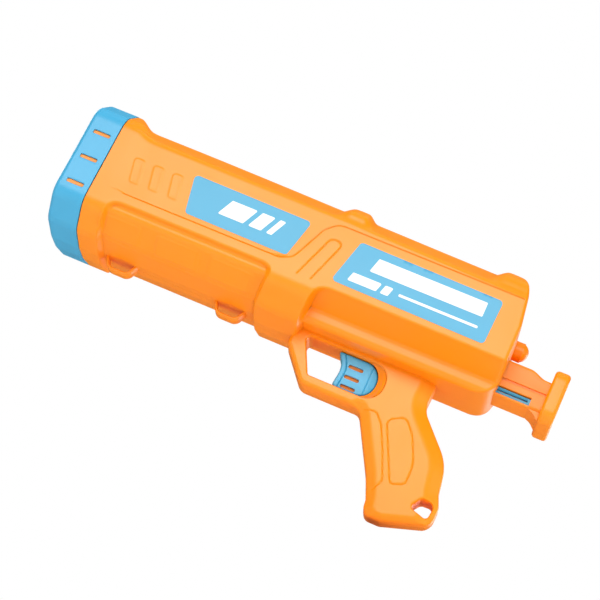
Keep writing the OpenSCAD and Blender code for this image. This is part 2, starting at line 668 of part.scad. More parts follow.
// Sear under the slide, turned by the trigger's push bar
sear_y = [-4.5, 1];
sear_p = [[-3.1, -13], [2, -13], [5, 0], [3, 5], [-11, 5], [-12.5, 11.6], [-17, 11.6], [-17, 2.5], [-4, -4],
    [-1.8, -7.5], [-2.4, -9.3], [-2.9, -11]];
module sear() place() color(dark) translate([sear_at[0], 0, sear_at[1]]) difference() {
    across(sear_y[0], sear_y[1]) polygon(sear_p);
    bar_y(sear_pin_d / 2 + seat_gap, 0, 0, -far, far);
}
pin_end = sear_room + 3.5;
module sear_pin() place() color(steel) bar_y(sear_pin_d / 2, sear_at[0], sear_at[1], -pin_end, pin_end);
module sear_spring() place() color(steel) translate([sear_at[0], 0, sear_at[1]]) rotate([0, 0, 90])
    coil(sear_pin_d / 2 + 1.2, 0.6, sear_y[1] + slide_gap, sear_room - slide_gap, 3);

// Screws that close the body, with their heads in wells on the right
module screw_y(x, z) {
    bar_y(head_r, x, z, head_seat, head_seat + head_t);
    bar_y(screw_r, x, z, head_seat - screw_len, head_seat + eps);
}
module shell_screws() place() color(steel) for (s = screw_at) screw_y(s[0], s[1]);

// Labels on the left side
label_t = 0.3;
label_r = 3;
label_lead = 26.5;
label_slant = 8.5;
label_tail = 19;
front_label_p = [[96.4, -16.8], [hoop_x - 10.4, -17.5], [hoop_x - 3.7, 13.6], [90, 14.3]];
rear_label_p = [[hoop_x + label_lead, -22.1], [body_len - label_tail, -23.2], [body_len - label_tail, 11.4],
    [hoop_x + label_lead + label_slant, 13.3]];
module skin(p) intersection() {
    difference() {
        children(0);
        children(1);
    }
    across(-far, 0) polygon(filleted(p, [label_r, label_r, label_r, label_r]));
}
module front_label() place() color(sky) skin(front_label_p) {
    along(cap_len, body_len) upper_section(-label_t);
    along(cap_len - 1, body_len + 1) upper_section();
}
module rear_label() place() color(sky) skin(rear_label_p) {
    along(cap_len, body_len) collar_section(-label_t);
    along(cap_len - 1, body_len + 1) collar_section();
}

left_shell();
right_shell();
muzzle_cap();
ball_barrel();
plunger_tube();
plunger_cup();
cup_pad();
plunger_rod();
cocking_slide();
pull_handle();
handle_screws();
main_spring();
spring_seat();
slide_bumper();
trigger();
trigger_spring();
sear();
sear_pin();
sear_spring();
shell_screws();
front_label();
rear_label();
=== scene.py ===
import math

import bmesh
import bpy
import numpy as np
from mathutils import Matrix
from mathutils.geometry import delaunay_2d_cdt


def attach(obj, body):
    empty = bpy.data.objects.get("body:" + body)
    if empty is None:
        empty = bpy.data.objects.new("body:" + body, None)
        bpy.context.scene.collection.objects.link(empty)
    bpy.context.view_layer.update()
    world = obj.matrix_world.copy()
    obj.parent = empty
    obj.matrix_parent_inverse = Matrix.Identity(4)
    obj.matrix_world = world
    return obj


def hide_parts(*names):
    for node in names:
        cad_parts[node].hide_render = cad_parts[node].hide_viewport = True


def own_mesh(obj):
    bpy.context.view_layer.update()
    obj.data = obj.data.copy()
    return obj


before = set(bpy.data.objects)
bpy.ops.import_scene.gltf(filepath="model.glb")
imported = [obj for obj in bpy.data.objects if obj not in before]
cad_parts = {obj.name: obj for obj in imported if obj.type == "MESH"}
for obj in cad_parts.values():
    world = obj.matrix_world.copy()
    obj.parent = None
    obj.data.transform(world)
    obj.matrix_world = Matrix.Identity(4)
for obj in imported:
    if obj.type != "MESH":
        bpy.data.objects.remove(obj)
scene = bpy.context.scene
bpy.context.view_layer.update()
print("stage: frame loaded,", len(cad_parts), "nodes")

# Lengths are mm from the muzzle, on the bore line, and turned into the frame's metres at the end
holdPoint = np.array((300.0, 0.0, -100.0))
seamGap = 0.07
weldGap = 1e-4
onLine = 0.02


def srgb(red, green, blue):
    c = np.array((red, green, blue)) / 255.0
    lin = np.where(c <= 0.04045, c / 12.92, ((c + 0.055) / 1.055) ** 2.4)
    return tuple(float(v) for v in lin) + (1.0,)


# Shared effects as node groups
def newGroup(name, inputs, outputs):
    group = bpy.data.node_groups.new(name, "ShaderNodeTree")
    for label, kind, value in inputs:
        socket = group.interface.new_socket(label, in_out="INPUT", socket_type=kind)
        socket.default_value = value
    for label, kind in outputs:
        group.interface.new_socket(label, in_out="OUTPUT", socket_type=kind)
    return group, group.nodes.new("NodeGroupInput"), group.nodes.new("NodeGroupOutput")


def feed(tree, node, values):
    # an input takes a link from a socket, or a plain value
    for label, value in values.items():
        if isinstance(value, bpy.types.NodeSocket):
            tree.links.new(value, node.inputs[label])
        else:
            node.inputs[label].default_value = value
    return node


def noiseNode(tree, scale, detail):
    place = tree.nodes.new("ShaderNodeTexCoord").outputs["Object"]
    noise = tree.nodes.new("ShaderNodeTexNoise")
    return feed(tree, noise, {"Vector": place, "Scale": scale, "Detail": detail}).outputs["Fac"]


def mathNode(tree, kind, *values):
    node = tree.nodes.new("ShaderNodeMath")
    node.operation = kind
    return feed(tree, node, dict(enumerate(values))).outputs[0]


def rangeNode(tree, value, low, high, toLow=0.0, toHigh=1.0):
    node = tree.nodes.new("ShaderNodeMapRange")
    node.interpolation_type = "SMOOTHSTEP"
    feed(tree, node, {"Value": value, "From Min": low, "From Max": high, "To Min": toLow, "To Max": toHigh})
    return node.outputs["Result"]


def makeGrain():
    group, inp, out = newGroup(
        "mouldGrain",
        (("Scale", "NodeSocketFloat", 1500.0), ("Roughness", "NodeSocketFloat", 0.4),
         ("Spread", "NodeSocketFloat", 0.1)),
        (("Height", "NodeSocketFloat"), ("Roughness", "NodeSocketFloat")),
    )
    fine = noiseNode(group, inp.outputs["Scale"], 3.0)
    broad = noiseNode(group, 45.0, 4.0)
    drift = mathNode(group, "MULTIPLY", mathNode(group, "SUBTRACT", broad, 0.5), inp.outputs["Spread"])
    rough = mathNode(group, "ADD", inp.outputs["Roughness"], drift)
    feed(group, out, {"Height": fine, "Roughness": rough})
    return group


def makeTone():
    group, inp, out = newGroup(
        "toneDrift",
        (("Base", "NodeSocketColor", (1, 1, 1, 1)), ("Amount", "NodeSocketFloat", 0.1),
         ("Scale", "NodeSocketFloat", 16.0)),
        (("Color", "NodeSocketColor"),),
    )
    noise = noiseNode(group, inp.outputs["Scale"], 5.0)
    shift = mathNode(group, "MULTIPLY", mathNode(group, "SUBTRACT", noise, 0.5), inp.outputs["Amount"])
    tone = group.nodes.new("ShaderNodeHueSaturation")
    feed(group, tone, {"Value": mathNode(group, "ADD", shift, 1.0), "Color": inp.outputs["Base"]})
    feed(group, out, {"Color": tone.outputs["Color"]})
    return group


# real wear lightening convex edges, and painted shade darkening concave creases and grooves
def makeWearAndCreaseShade():
    group, inp, out = newGroup(
        "edgeWearAndCreaseShade",
        (("Amount", "NodeSocketFloat", 0.3),),
        (("Mask", "NodeSocketFloat"), ("CreaseShade", "NodeSocketFloat")),
    )
    shape = group.nodes.new("ShaderNodeNewGeometry")
    edge = rangeNode(group, shape.outputs["Pointiness"], 0.515, 0.6)
    broken = rangeNode(group, noiseNode(group, 240.0, 4.0), 0.42, 0.62)
    worn = mathNode(group, "MULTIPLY", edge, broken)
    # painted shade: low pointiness in creases and grooves gives a mask that darkens them in place of the
    # shadow that falls there
    creaseShade = rangeNode(group, shape.outputs["Pointiness"], 0.4, 0.488, 0.8, 0.0)
    feed(group, out, {"Mask": mathNode(group, "MULTIPLY", worn, inp.outputs["Amount"]), "CreaseShade": creaseShade})
    return group


def makeDust():
    group, inp, out = newGroup(
        "restingDust", (("Amount", "NodeSocketFloat", 0.2),), (("Mask", "NodeSocketFloat"),)
    )
    shape = group.nodes.new("ShaderNodeNewGeometry")
    split = group.nodes.new("ShaderNodeSeparateXYZ")
    feed(group, split, {0: shape.outputs["Normal"]})
    facing = rangeNode(group, split.outputs["Z"], 0.35, 1.0)
    patchy = rangeNode(group, noiseNode(group, 90.0, 5.0), 0.45, 0.75)
    settled = mathNode(group, "MULTIPLY", facing, patchy)
    feed(group, out, {"Mask": mathNode(group, "MULTIPLY", settled, inp.outputs["Amount"])})
    return group


effects = {"grain": makeGrain(), "tone": makeTone(), "wear": makeWearAndCreaseShade(), "dust": makeDust()}


def groupNode(tree, key, **values):
    node = tree.nodes.new("ShaderNodeGroup")
    node.node_tree = effects[key]
    return feed(tree, node, values)


def mixColor(tree, mask, first, second):
    node = tree.nodes.new("ShaderNodeMix")
    node.data_type = "RGBA"
    return feed(tree, node, {"Factor": mask, "A": first, "B": second}).outputs["Result"]


dustTint = (0.62, 0.6, 0.56, 1)
grainDepth = 0.0004


def newMaterial(name):
    material = bpy.data.materials.new(name)
    material.use_nodes = True
    return material, material.node_tree, material.node_tree.nodes["Principled BSDF"]


def moulded(name, color, roughness=0.38, spread=0.12, drift=0.1, wear=0.25, dust=0.12, bump=0.06,
            scale=1500.0, metallic=0.0, coat=0.0, gloss=0.4):
    material, tree, shader = newMaterial(name)
    tone = groupNode(tree, "tone", Base=color, Amount=drift)
    grain = groupNode(tree, "grain", Scale=scale, Roughness=roughness, Spread=spread)
    edges = groupNode(tree, "wear", Amount=wear)
    settled = groupNode(tree, "dust", Amount=dust)
    bright = tuple(min(1, c * 1.2 + 0.03) for c in color[:3]) + (1,)
    # painted shade: a dark copy of the colour, mixed into creases and grooves as painted shadow
    creaseShadeTint = tuple(c * 0.3 for c in color[:3]) + (1,)
    result = mixColor(tree, edges.outputs["Mask"], tone.outputs["Color"], bright)
    result = mixColor(tree, edges.outputs["CreaseShade"], result, creaseShadeTint)
    result = mixColor(tree, settled.outputs["Mask"], result, dustTint)
    relief = tree.nodes.new("ShaderNodeBump")
    feed(tree, relief, {"Strength": bump, "Distance": grainDepth, "Height": grain.outputs["Height"]})
    feed(tree, shader, {"Base Color": result, "Roughness": grain.outputs["Roughness"],
                        "Normal": relief.outputs["Normal"], "Metallic": metallic,
                        "Coat Weight": coat, "Specular IOR Level": gloss})
    return material


looks = {
    "orange": moulded("orangePlastic", srgb(255, 146, 0), roughness=0.36, drift=0.06, wear=0.15,
                      dust=0.02, gloss=0.6),
    "inner": moulded("orangeInner", srgb(236, 122, 24), roughness=0.5, drift=0.1, wear=0.1, dust=0.0),
    "blue": moulded("bluePlastic", srgb(68, 171, 215), roughness=0.36, drift=0.06, wear=0.15,
                    dust=0.02, gloss=0.6),
    "film": moulded("labelFilm", srgb(84, 170, 207), roughness=0.38, drift=0.04, wear=0.0, dust=0.02,
                    bump=0.02, coat=0.05),
    "print": moulded("whitePrint", srgb(240, 243, 244), roughness=0.35, drift=0.03, wear=0.0, dust=0.0,
                     bump=0.02),
    "steel": moulded("zincSteel", srgb(176, 180, 186), roughness=0.3, drift=0.16, wear=0.3, dust=0.0,
                     bump=0.1, scale=2600.0, metallic=1.0),
    "grey": moulded("greyPlastic", srgb(92, 95, 99), roughness=0.45, drift=0.1, wear=0.3, dust=0.0),
    "rubber": moulded("blackRubber", srgb(38, 38, 40), roughness=0.7, drift=0.2, wear=0.2, dust=0.1,
                      bump=0.12, scale=1100.0),
}
print("stage: materials made,", len(looks))


# Outlines and fields
def roundLine(points, radii, closed=True, step=4.0):
    points = np.asarray(points, float)
    count = len(points)
    radii = np.broadcast_to(radii, count)
    out = []
    for k in range(count):
        here = points[k]
        if not closed and k in (0, count - 1):
            out.append(here)
            continue
        a, b = points[k - 1] - here, points[(k + 1) % count] - here
        lenA, lenB = np.linalg.norm(a), np.linalg.norm(b)
        a, b = a / lenA, b / lenB
        half = math.acos(max(-1.0, min(1.0, float(a @ b)))) / 2
        cut = min(radii[k] / math.tan(half), 0.49 * min(lenA, lenB)) if half < 1.5707 else 0.0
        r = cut * math.tan(half) if cut else 0.0
        if r < 1e-3:
            out.append(here)
            continue
        centre = here + (a + b) / np.linalg.norm(a + b) * r / math.sin(half)
        start, end = here + a * cut - centre, here + b * cut - centre
        turn = math.atan2(start[0] * end[1] - start[1] * end[0], start @ end)
        steps = max(2, int(math.ceil(abs(math.degrees(turn)) / step)))
        for t in np.linspace(0.0, turn, steps + 1):
            out.append(centre + np.array((start[0] * math.cos(t) - start[1] * math.sin(t),
                                          start[0] * math.sin(t) + start[1] * math.cos(t))))
    return np.array(out)


def dense(line, step, closed=True):
    ends = np.roll(line, -1, axis=0) if closed else line[1:]
    out = []
    for a, b in zip(line, ends):
        n = max(1, int(math.ceil(np.linalg.norm(b - a) / step)))
        out.extend(a + (b - a) * t for t in np.arange(n) / n)
    if not closed:
        out.append(line[-1])
    return np.array(out)


def pairDistance(px, pz, pairs):
    best = np.full(np.shape(px), 1e9)
    for (ax, az), (bx, bz) in pairs:
        ex, ez = bx - ax, bz - az
        size = max(ex * ex + ez * ez, 1e-12)
        t = np.clip(((px - ax) * ex + (pz - az) * ez) / size, 0, 1)
        best = np.minimum(best, (px - ax - ex * t) ** 2 + (pz - az - ez * t) ** 2)
    return np.sqrt(best)


def lineDistance(px, pz, line, closed=True):
    return pairDistance(px, pz, zip(line, np.roll(line, -1, axis=0) if closed else line[1:]))


def insideOf(px, pz, line):
    inside = np.zeros(np.shape(px), bool)
    for (ax, az), (bx, bz) in zip(line, np.roll(line, -1, axis=0)):
        if az != bz:
            inside ^= ((az > pz) != (bz > pz)) & (px < ax + (pz - az) * (bx - ax) / (bz - az))
    return inside


def signedDistance(px, pz, line):
    return np.where(insideOf(px, pz, line), -1.0, 1.0) * lineDistance(px, pz, line)


def softMin(a, b, k):
    h = np.clip(0.5 + 0.5 * (b - a) / k, 0, 1)
    return b * (1 - h) + a * h - k * h * (1 - h)


def softMax(a, b, k):
    return -softMin(-a, -b, k)


def smooth(t):
    t = np.clip(t, 0, 1)
    return t * t * (3 - 2 * t)


def xyz(x, y, z):
    return np.stack(np.broadcast_arrays(x, y, z), -1)


def dress(mesh, material, angle):
    mesh.materials.clear()
    mesh.materials.append(material)
    mesh.polygons.foreach_set("use_smooth", np.ones(len(mesh.polygons), bool))
    mesh.set_sharp_from_angle(angle=math.radians(angle))


def newObject(name, data):
    obj = bpy.data.objects.new(name, data)
    scene.collection.objects.link(obj)
    return obj


def addPiece(name, mesh, body, replaced):
    obj = newObject(name, mesh)
    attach(obj, body)
    if replaced:
        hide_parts(*replaced)
    return obj


# Points and faces of one piece
class Sheet:
    def __init__(self):
        self.points, self.faces, self.count = [], [], 0

    def add(self, points):
        points = np.asarray(points, float).reshape(-1, 3)
        start = self.count
        self.points.append(points)
        self.count += len(points)
        return np.arange(start, self.count)

    def weave(self, index, wrap=False, skip=None):
        following = np.roll(index, -1, axis=1) if wrap else index[:, 1:]
        here = index if wrap else index[:, :-1]
        quads = np.stack((here[:-1], following[:-1], following[1:], here[1:]), -1)
        if skip is not None:
            quads = quads[~skip]
        self.faces.extend(quads.reshape(-1, 4).tolist())

    def grid(self, points, wrap=False, skip=None):
        index = self.add(points).reshape(points.shape[:2])
        self.weave(index, wrap, skip)
        return index

    def tile(self, points, tris):
        index = self.add(points)
        self.faces.extend(index[tris].tolist())
        return index

    def fan(self, loop):
        self.faces.append([int(k) for k in loop])

    def solid(self, rings):
        index = self.grid(np.array(rings), wrap=True)
        self.fan(index[0])
        self.fan(index[-1])

    def piece(self, name, material, body, replaced=(), angle=40.0):
        mesh = bpy.data.meshes.new(name)
        points = (np.vstack(self.points) - holdPoint) / 1000.0
        mesh.from_pydata(points.tolist(), [], self.faces)
        work = bmesh.new()
        work.from_mesh(mesh)
        bmesh.ops.remove_doubles(work, verts=work.verts, dist=weldGap / 1000.0)
        bmesh.ops.recalc_face_normals(work, faces=work.faces)
        work.to_mesh(mesh)
        work.free()
        dress(mesh, material, angle)
        return addPiece(name, mesh, body, replaced)


# Body skin as a radius about the bore line
body = {
    "rear": 350.0, "hoop": 187.0, "lip": 2.6, "rim": 0.6, "lead": (24.95, 0.5),
    "spigot": ((5.0, 4.2), (5.0, 2.2), (5.5, 1.65), (23.5, 1.65), (23.6, 4.2), (24.9, 4.2)),
    "collar": ([(0, -58.5), (10, -58.5), (37, -54.5), (57, -38), (53.4, 34.5), (26, 51), (0, 51)],
               [0, 30, 18, 14, 16, 28, 0]),
    "fore": ([(0, -53.5), (9, -53.5), (33, -50), (52.5, -35.5), (52.5, -18.5)], [0, 24, 20, 6, 0]),
    "keel": ([(0, -50), (32, -50), (32, -20.5)], [0, 5, 0]),
    "upper": ([(0, -40), (30, -40), (56.2, -28.5), (52.6, 27), (26, 43), (0, 43)], [0, 6, 3, 8, 16, 0]),
    "topX": [25, 28, 31, 34, 37, 40, 195, 198, 201, 204, 207, 211, 214.5, 217, 219, 221, 223, 225,
             317, 320, 323, 326, 329, 333, 336.5, 340.5, 343.5, 346.3, 348.2, 349.4, 350],
    "topZ": [51, 50.6, 49.3, 47, 44.6, 43, 43, 43.4, 44.4, 45.6, 46.3, 46.8, 46.8, 46.3, 45.4, 44.3, 43.4, 43,
             43, 43.5, 44.8, 46.1, 46.8, 46.8, 46.4, 45.2, 43.5, 41, 38.1, 34.8, 31],
    "chamfer": (0.515, 0.857), "taper": (67.0, 0.0126), "panelRound": 10.5, "waist": 2.4, "steep": 0.25,
    "lean": (7.0, 46.8, 336.0, 14.0), "toe": (35.0, 15.0, 308.0, 44.0),
    "facetLow": -24.0, "fillets": (0.4, 3.6, 1.5, 13.0), "frontFade": (34, 18, 40, 12),
    "humps": ((193, 14), (227, 11), (314, 13)), "humpFade": (22, 15), "seamRim": 2.4,
    "engraved": {"shelf": (0.75, 0.7), "pill": (0.7, 0.7)}, "pillLow": -27.6,
    "padShape": ((5.5, -10.5), (13.5, -10.5), (9, 9), (1, 9)), "padCorner": 2.2,
    "padRise": (0.4, 1.1, 0.18, 1.6, 1.0),
    "panelZ": (-48.5, -38), "panelCorner": 2.0, "panelRise": (0.55, 1.3),
    "opening": [(0, -41.3), (14.3, -41.3), (14.3, -11.7), (0, -11.7)], "rodHole": 7.7,
    "pads": (43.0, 58.5, 74.0), "panels": ((39.5, 71.5), (84.5, 117.3), (126.4, 159.3)),
}
shelfBend = [(173, -21), (182, -16), (193.5, 12), (202, 20)]
bendRadii = [12, 9, 9, 12]
bodyAreas = [
    roundLine([(20, 60), (29, 60), (40, 39), (36, 27), (20, 10)], [0, 3, 3, 3, 0]),
    roundLine([(20, -21), *shelfBend, (360, 20), (360, -28.5), (20, -28.5)], [0, *bendRadii, 0, 0, 0]),
    roundLine([(20, -24), (43, -24), (39, -90), (20, -90)], [0, 0, 0, 0]),
    roundLine([(173, -24), (208, -24), (195, -90), (160, -90)], [0, 0, 0, 0]),
]
bodyLines = {
    "shelf": roundLine([(49, -21), *shelfBend, (347, 20)], [0, *bendRadii, 0], closed=False),
    "pill": roundLine([(188.8, -28.5), (201, 7.5), (211, 7.5), (199.5, -28.5)], [0, 5, 5, 0], closed=False),
}


def polarTable(key):
    line = dense(roundLine(*body[key], closed=False, step=2.0), 0.15, closed=False)
    angle = np.arctan2(line[:, 1], np.maximum(line[:, 0], 0))
    order = np.argsort(angle)
    return angle[order], np.hypot(line[:, 0], line[:, 1])[order]


tables = {key: polarTable(key) for key in ("collar", "fore", "keel", "upper")}


def tableRadius(key, angle):
    return np.interp(angle, *tables[key], right=0.0 if key in ("fore", "keel") else None)


def bodyRadius(x, angle):
    x, angle = np.broadcast_arrays(np.asarray(x, float), np.asarray(angle, float))
    rise = np.sin(angle)
    low = np.where(x < body["hoop"], tableRadius("fore", angle), tableRadius("keel", angle))
    plain = softMax(tableRadius("upper", angle), low, body["waist"])
    wide = tableRadius("collar", angle)
    # the top and its chamfers fall slightly to the rear
    start, slope = body["taper"]
    fall = slope * np.clip(x - start, 0, None)
    limit = (np.interp(x, body["topX"], body["topZ"]) - fall) / np.maximum(rise, body["steep"])
    across, upward = body["chamfer"]
    facing = np.maximum(across * np.cos(angle) + upward * rise, 0.2)
    slants = [(across * y + upward * z - upward * fall) / facing
              for y, z in (body["collar"][0][4], body["upper"][0][3])]
    upper = rise > body["steep"]
    wide = np.where(upper, softMin(softMin(wide, slants[0], 0.01 + fall), limit, 5.0), wide)
    plain = np.where(upper, np.minimum(softMin(plain, slants[1], 0.01 + fall), limit), plain)
    z = wide * rise
    lead = signedDistance(x, z, bodyAreas[0])
    parts = [signedDistance(x, z, area) for area in bodyAreas[1:]]
    away = softMin(softMin(parts[0], parts[1], body["panelRound"]), parts[2], body["panelRound"])
    # wider fillets round the panel below the side facets
    shift, under, over, ahead = body["fillets"]
    share = np.where(z < body["facetLow"], smooth(0.5 - (away - shift) / under), smooth(0.5 - away / over))
    share = np.maximum(share, smooth(0.5 - lead / ahead))
    start, reach, top, fade = body["frontFade"]
    front = (1 - smooth((x - start) / reach)) * smooth((top - z) / fade)
    share = np.maximum(share, front * (z > body["facetLow"]))
    # one hump at mid-length and one at the rear
    (start, rise0), (end, rise1), (rear, rise2) = body["humps"]
    humps = np.maximum(smooth((x - start) / rise0) * smooth((end - x) / rise1), smooth((x - rear) / rise2))
    foot, fade = body["humpFade"]
    share = np.maximum(share, humps * smooth((z - foot) / fade))
    out = plain + share * np.maximum(wide - plain, 0)
    z = out * rise
    side = np.abs(np.cos(angle)) > 0.3
    for key, where in (("shelf", side), ("pill", z > body["pillLow"])):
        depth, width = body["engraved"][key]
        line = lineDistance(x, z, bodyLines[key], closed=False)
        out = out - depth * smooth(1 - line / width) * where
    lift, slope, dip, inset, dipSlope = body["padRise"]
    for left in body["pads"]:
        pad = roundLine([(left + along, high) for along, high in body["padShape"]], body["padCorner"])
        shape = signedDistance(x, z, pad)
        out = out + lift * smooth(0.5 - shape / slope) - dip * smooth(0.5 - (shape + inset) / dipSlope)
    under, over = body["panelZ"]
    lift, slope = body["panelRise"]
    for start, end in body["panels"]:
        panel = roundLine([(start, under), (end, under), (end, over), (start, over)], body["panelCorner"])
        shape = signedDistance(x, z, panel)
        out = out + lift * smooth(0.5 - shape / slope)
    lip = np.clip((x - body["rear"]) / body["lip"] + 1, 0, 1)
    return out - body["lip"] * (1 - np.sqrt(1 - lip * lip))


def spread(*spans):
    out = []
    for low, high, step in spans:
        out.append(np.linspace(low, high, max(2, int(round(abs(high - low) / step)) + 1))[:-1])
    return np.append(np.concatenate(out), spans[-1][1])


def bodyAngles(step):
    line = dense(roundLine(*body["collar"], closed=False, step=2.0), 0.1, closed=False)
    near = sum(np.exp(-(((line[1:, 1] - z) / 2.5) ** 2)) for z in (-21.0, 20.0))
    walk = np.append(0, np.cumsum(np.linalg.norm(np.diff(line, axis=0), axis=1) * (1 + near)))
    n = int(round(walk[-1] / step))
    at = np.interp(np.linspace(0, walk[-1], n + 1), walk, np.arange(len(line)))
    y = np.interp(at, np.arange(len(line)), line[:, 0])
    z = np.interp(at, np.arange(len(line)), line[:, 1])
    angle = np.arctan2(z, y)
    angle[0], angle[-1] = -math.pi / 2, math.pi / 2
    return angle


bodyX = spread((25, 46, 0.6), (46, 92, 0.8), (92, 160, 1.5), (160, 214, 0.55), (214, 226, 0.7),
               (226, 312, 1.7), (312, 340, 0.9), (340, body["rear"], 0.45))
bodyA = bodyAngles(0.72)
bodyR = bodyRadius(bodyX[:, None], bodyA[None, :])
print("stage: body skin sampled,", bodyR.shape)


def skinY(x, z):
    x, z = np.atleast_1d(np.asarray(x, float)), np.atleast_1d(np.asarray(z, float))
    out = np.empty(x.shape)
    for k in range(len(x)):
        i = int(np.clip(np.searchsorted(bodyX, x[k]) - 1, 0, len(bodyX) - 2))
        t = (x[k] - bodyX[i]) / (bodyX[i + 1] - bodyX[i])
        r = bodyR[i] * (1 - t) + bodyR[i + 1] * t
        heights = np.maximum.accumulate(r * np.sin(bodyA))
        out[k] = np.interp(z[k], heights, r * np.cos(bodyA))
    return out


def cutBlock(near, skip):
    # leaves out the cells round the marked points of a grid
    rows, cols = np.where(near)
    block = (rows.min() - 1, rows.max() + 1, cols.min() - 1, cols.max() + 1)
    skip[block[0]:block[1], block[2]:block[3]] = True
    return block


def blockLoop(i0, i1, j0, j1):
    return ([(i, j0) for i in range(i0, i1)] + [(i1, j) for j in range(j0, j1)]
            + [(i, j1) for i in range(i1, i0, -1)] + [(i0, j) for j in range(j1, j0, -1)])


# Guard and grip as one plate with raised faces
gripPlate = {
    "outline": [(196, -46), (197, -64), (218, -89), (264.8, -89), (287.8, -130), (295, -147.2), (295.6, -153),
                (298.6, -158.4), (310, -158.4), (344.6, -147), (344.9, -133), (341.2, -124), (337.5, -101),
                (308, -70), (309, -46)],
    "radii": [6, 6.5, 9, 8, 60, 9, 6, 6, 8, 9, 7, 10, 50, 16, 6],
    "finger": ([(207, -53), (220.5, -80.5), (268.8, -80.5), (268.8, -53)], [4, 3, 12.6, 12.6]),
    "recess": ([(206.9, -52.9), (220.4, -80.6), (274.5, -80.6), (274.5, -52.9)], [4, 3, 12.6, 12.6]),
    "slope": (8.2, 12.6, 5.7), "pocket": (256.1, 4.75, 7.9),
    "hole": ([(325, -141), (340, -144.4), (341.4, -132), (331.5, -131.6)], [3, 3, 4, 4]),
    "front": [(268, -88.3), (277, -86.4), (284, -94), (292.5, -111.5), (300.8, -131.5), (296.8, -140)],
    "inlay": ([(306.5, -131.6), (316.5, -127.5), (316.6, -112), (307.5, -92.5), (298.5, -82), (286.2, -89)],
              [3, 4, 30, 30, 5, 5]),
    "edges": {"guard": (0, 3, 3.2, 3.0), "front": (3, 7, 8.0, 5.0), "bottom": (7, 9, 5.0, 4.0),
              "back": (9, 14, 12.0, 6.0)},
    "half": 14.0, "lip": 1.4, "engraved": (0.7, 0.65), "blend": 1.6, "roof": -50.0, "spacing": 0.72,
    "slopeSpacing": 0.95,
}
plateLine = roundLine(gripPlate["outline"], gripPlate["radii"])
fingerLine = roundLine(*gripPlate["finger"])
recessLine = roundLine(*gripPlate["recess"])
holeLine = roundLine(*gripPlate["hole"])
inlayLine = roundLine(*gripPlate["inlay"])
frontLine = roundLine(gripPlate["front"], [0, 5, 10, 60, 5, 0], closed=False)


def edgeGroups():
    corners = np.array(gripPlate["outline"], float)
    groups = {key: [] for key in gripPlate["edges"]}
    for a, b in zip(plateLine, np.roll(plateLine, -1, axis=0)):
        mid = (a + b) / 2
        best = min(
            (float(lineDistance(mid[0], mid[1], corners[[k, (k + 1) % len(corners)]], closed=False)), key)
            for key, (first, last, _, _) in gripPlate["edges"].items() for k in range(first, last)
        )
        if mid[1] < gripPlate["roof"]:
            groups[best[1]].append((a, b))
    return groups


plateGroups = edgeGroups()


def plateRise(px, pz):
    drop = np.zeros(np.shape(px))
    near = np.full(np.shape(px), 1e9)
    for key, (_, _, width, depth) in gripPlate["edges"].items():
        away = pairDistance(px, pz, plateGroups[key])
        near = np.minimum(near, away)
        fall = depth * np.clip(1 - away / width, 0, 1)
        drop = softMax(drop, fall, gripPlate["blend"])
    rims = np.minimum(lineDistance(px, pz, recessLine), lineDistance(px, pz, holeLine))
    lip = gripPlate["lip"]
    for gap in (near, rims):
        t = np.clip(1 - gap / lip, 0, 1)
        drop = drop + lip * (1 - np.sqrt(np.maximum(1 - t * t, 0)))
    depth, width = gripPlate["engraved"]
    for line, closed in ((inlayLine, True), (frontLine, False)):
        drop = drop + depth * smooth(1 - lineDistance(px, pz, line, closed=closed) / width)
    return gripPlate["half"] - drop


def plateMesh(outline, holes, spacing):
    loops = [dense(outline, spacing)] + [dense(h, spacing) for h in holes]
    low, high = outline.min(0), outline.max(0)
    gx, gz = np.meshgrid(np.arange(low[0], high[0], spacing), np.arange(low[1], high[1], spacing * 0.9))
    gx = gx + (np.arange(gx.shape[0]) % 2)[:, None] * spacing / 2
    gx, gz = gx.ravel(), gz.ravel()
    keep = insideOf(gx, gz, outline)
    for line in [outline] + list(holes):
        keep &= lineDistance(gx, gz, line) > 0.55 * spacing
    for line in holes:
        keep &= ~insideOf(gx, gz, line)
    points, edges = [], []
    for loop in loops:
        start = len(points)
        points.extend(loop.tolist())
        edges.extend((start + k, start + (k + 1) % len(loop)) for k in range(len(loop)))
    points.extend(np.stack((gx[keep], gz[keep]), -1).tolist())
    result = delaunay_2d_cdt(points, edges, [], 0, 1e-6)
    verts = np.array([tuple(v) for v in result[0]])
    tris = np.array(result[2])
    mid = verts[tris].mean(1)
    good = insideOf(mid[:, 0], mid[:, 1], loops[0])
    for loop in loops[1:]:
        good &= ~insideOf(mid[:, 0], mid[:, 1], loop)
    tris = tris[good]
    used = {}
    for tri in tris.tolist():
        for a, b in ((tri[0], tri[1]), (tri[1], tri[2]), (tri[2], tri[0])):
            used[(a, b)] = True
    rim = [(a, b) for a, b in used if (b, a) not in used]
    return verts, tris, rim


def plateSide(sheet, parts, rise, sign, foot):
    # one face of a plate, with walls from its rims down to the foot
    verts, tris, rim = parts
    y = rise(verts[:, 0], verts[:, 1])
    index = sheet.tile(xyz(verts[:, 0], sign * y, verts[:, 1]), tris)
    lower = {}
    for a, b in rim:
        for k in (a, b):
            if k not in lower:
                lower[k] = int(sheet.add([(verts[k, 0], sign * foot(*verts[k]), verts[k, 1])])[0])
        sheet.faces.append([int(index[a]), int(index[b]), lower[b], lower[a]])
    return index


def recessRise(x, z):
    # the recess slopes from the grip's face down to the trigger
    low, high, reach = gripPlate["slope"]
    return low + (high - low) * smooth(lineDistance(x, z, fingerLine) / reach)


def plateFoot(x, z):
    return recessRise(x, z) if lineDistance(x, z, recessLine) < onLine else seamGap


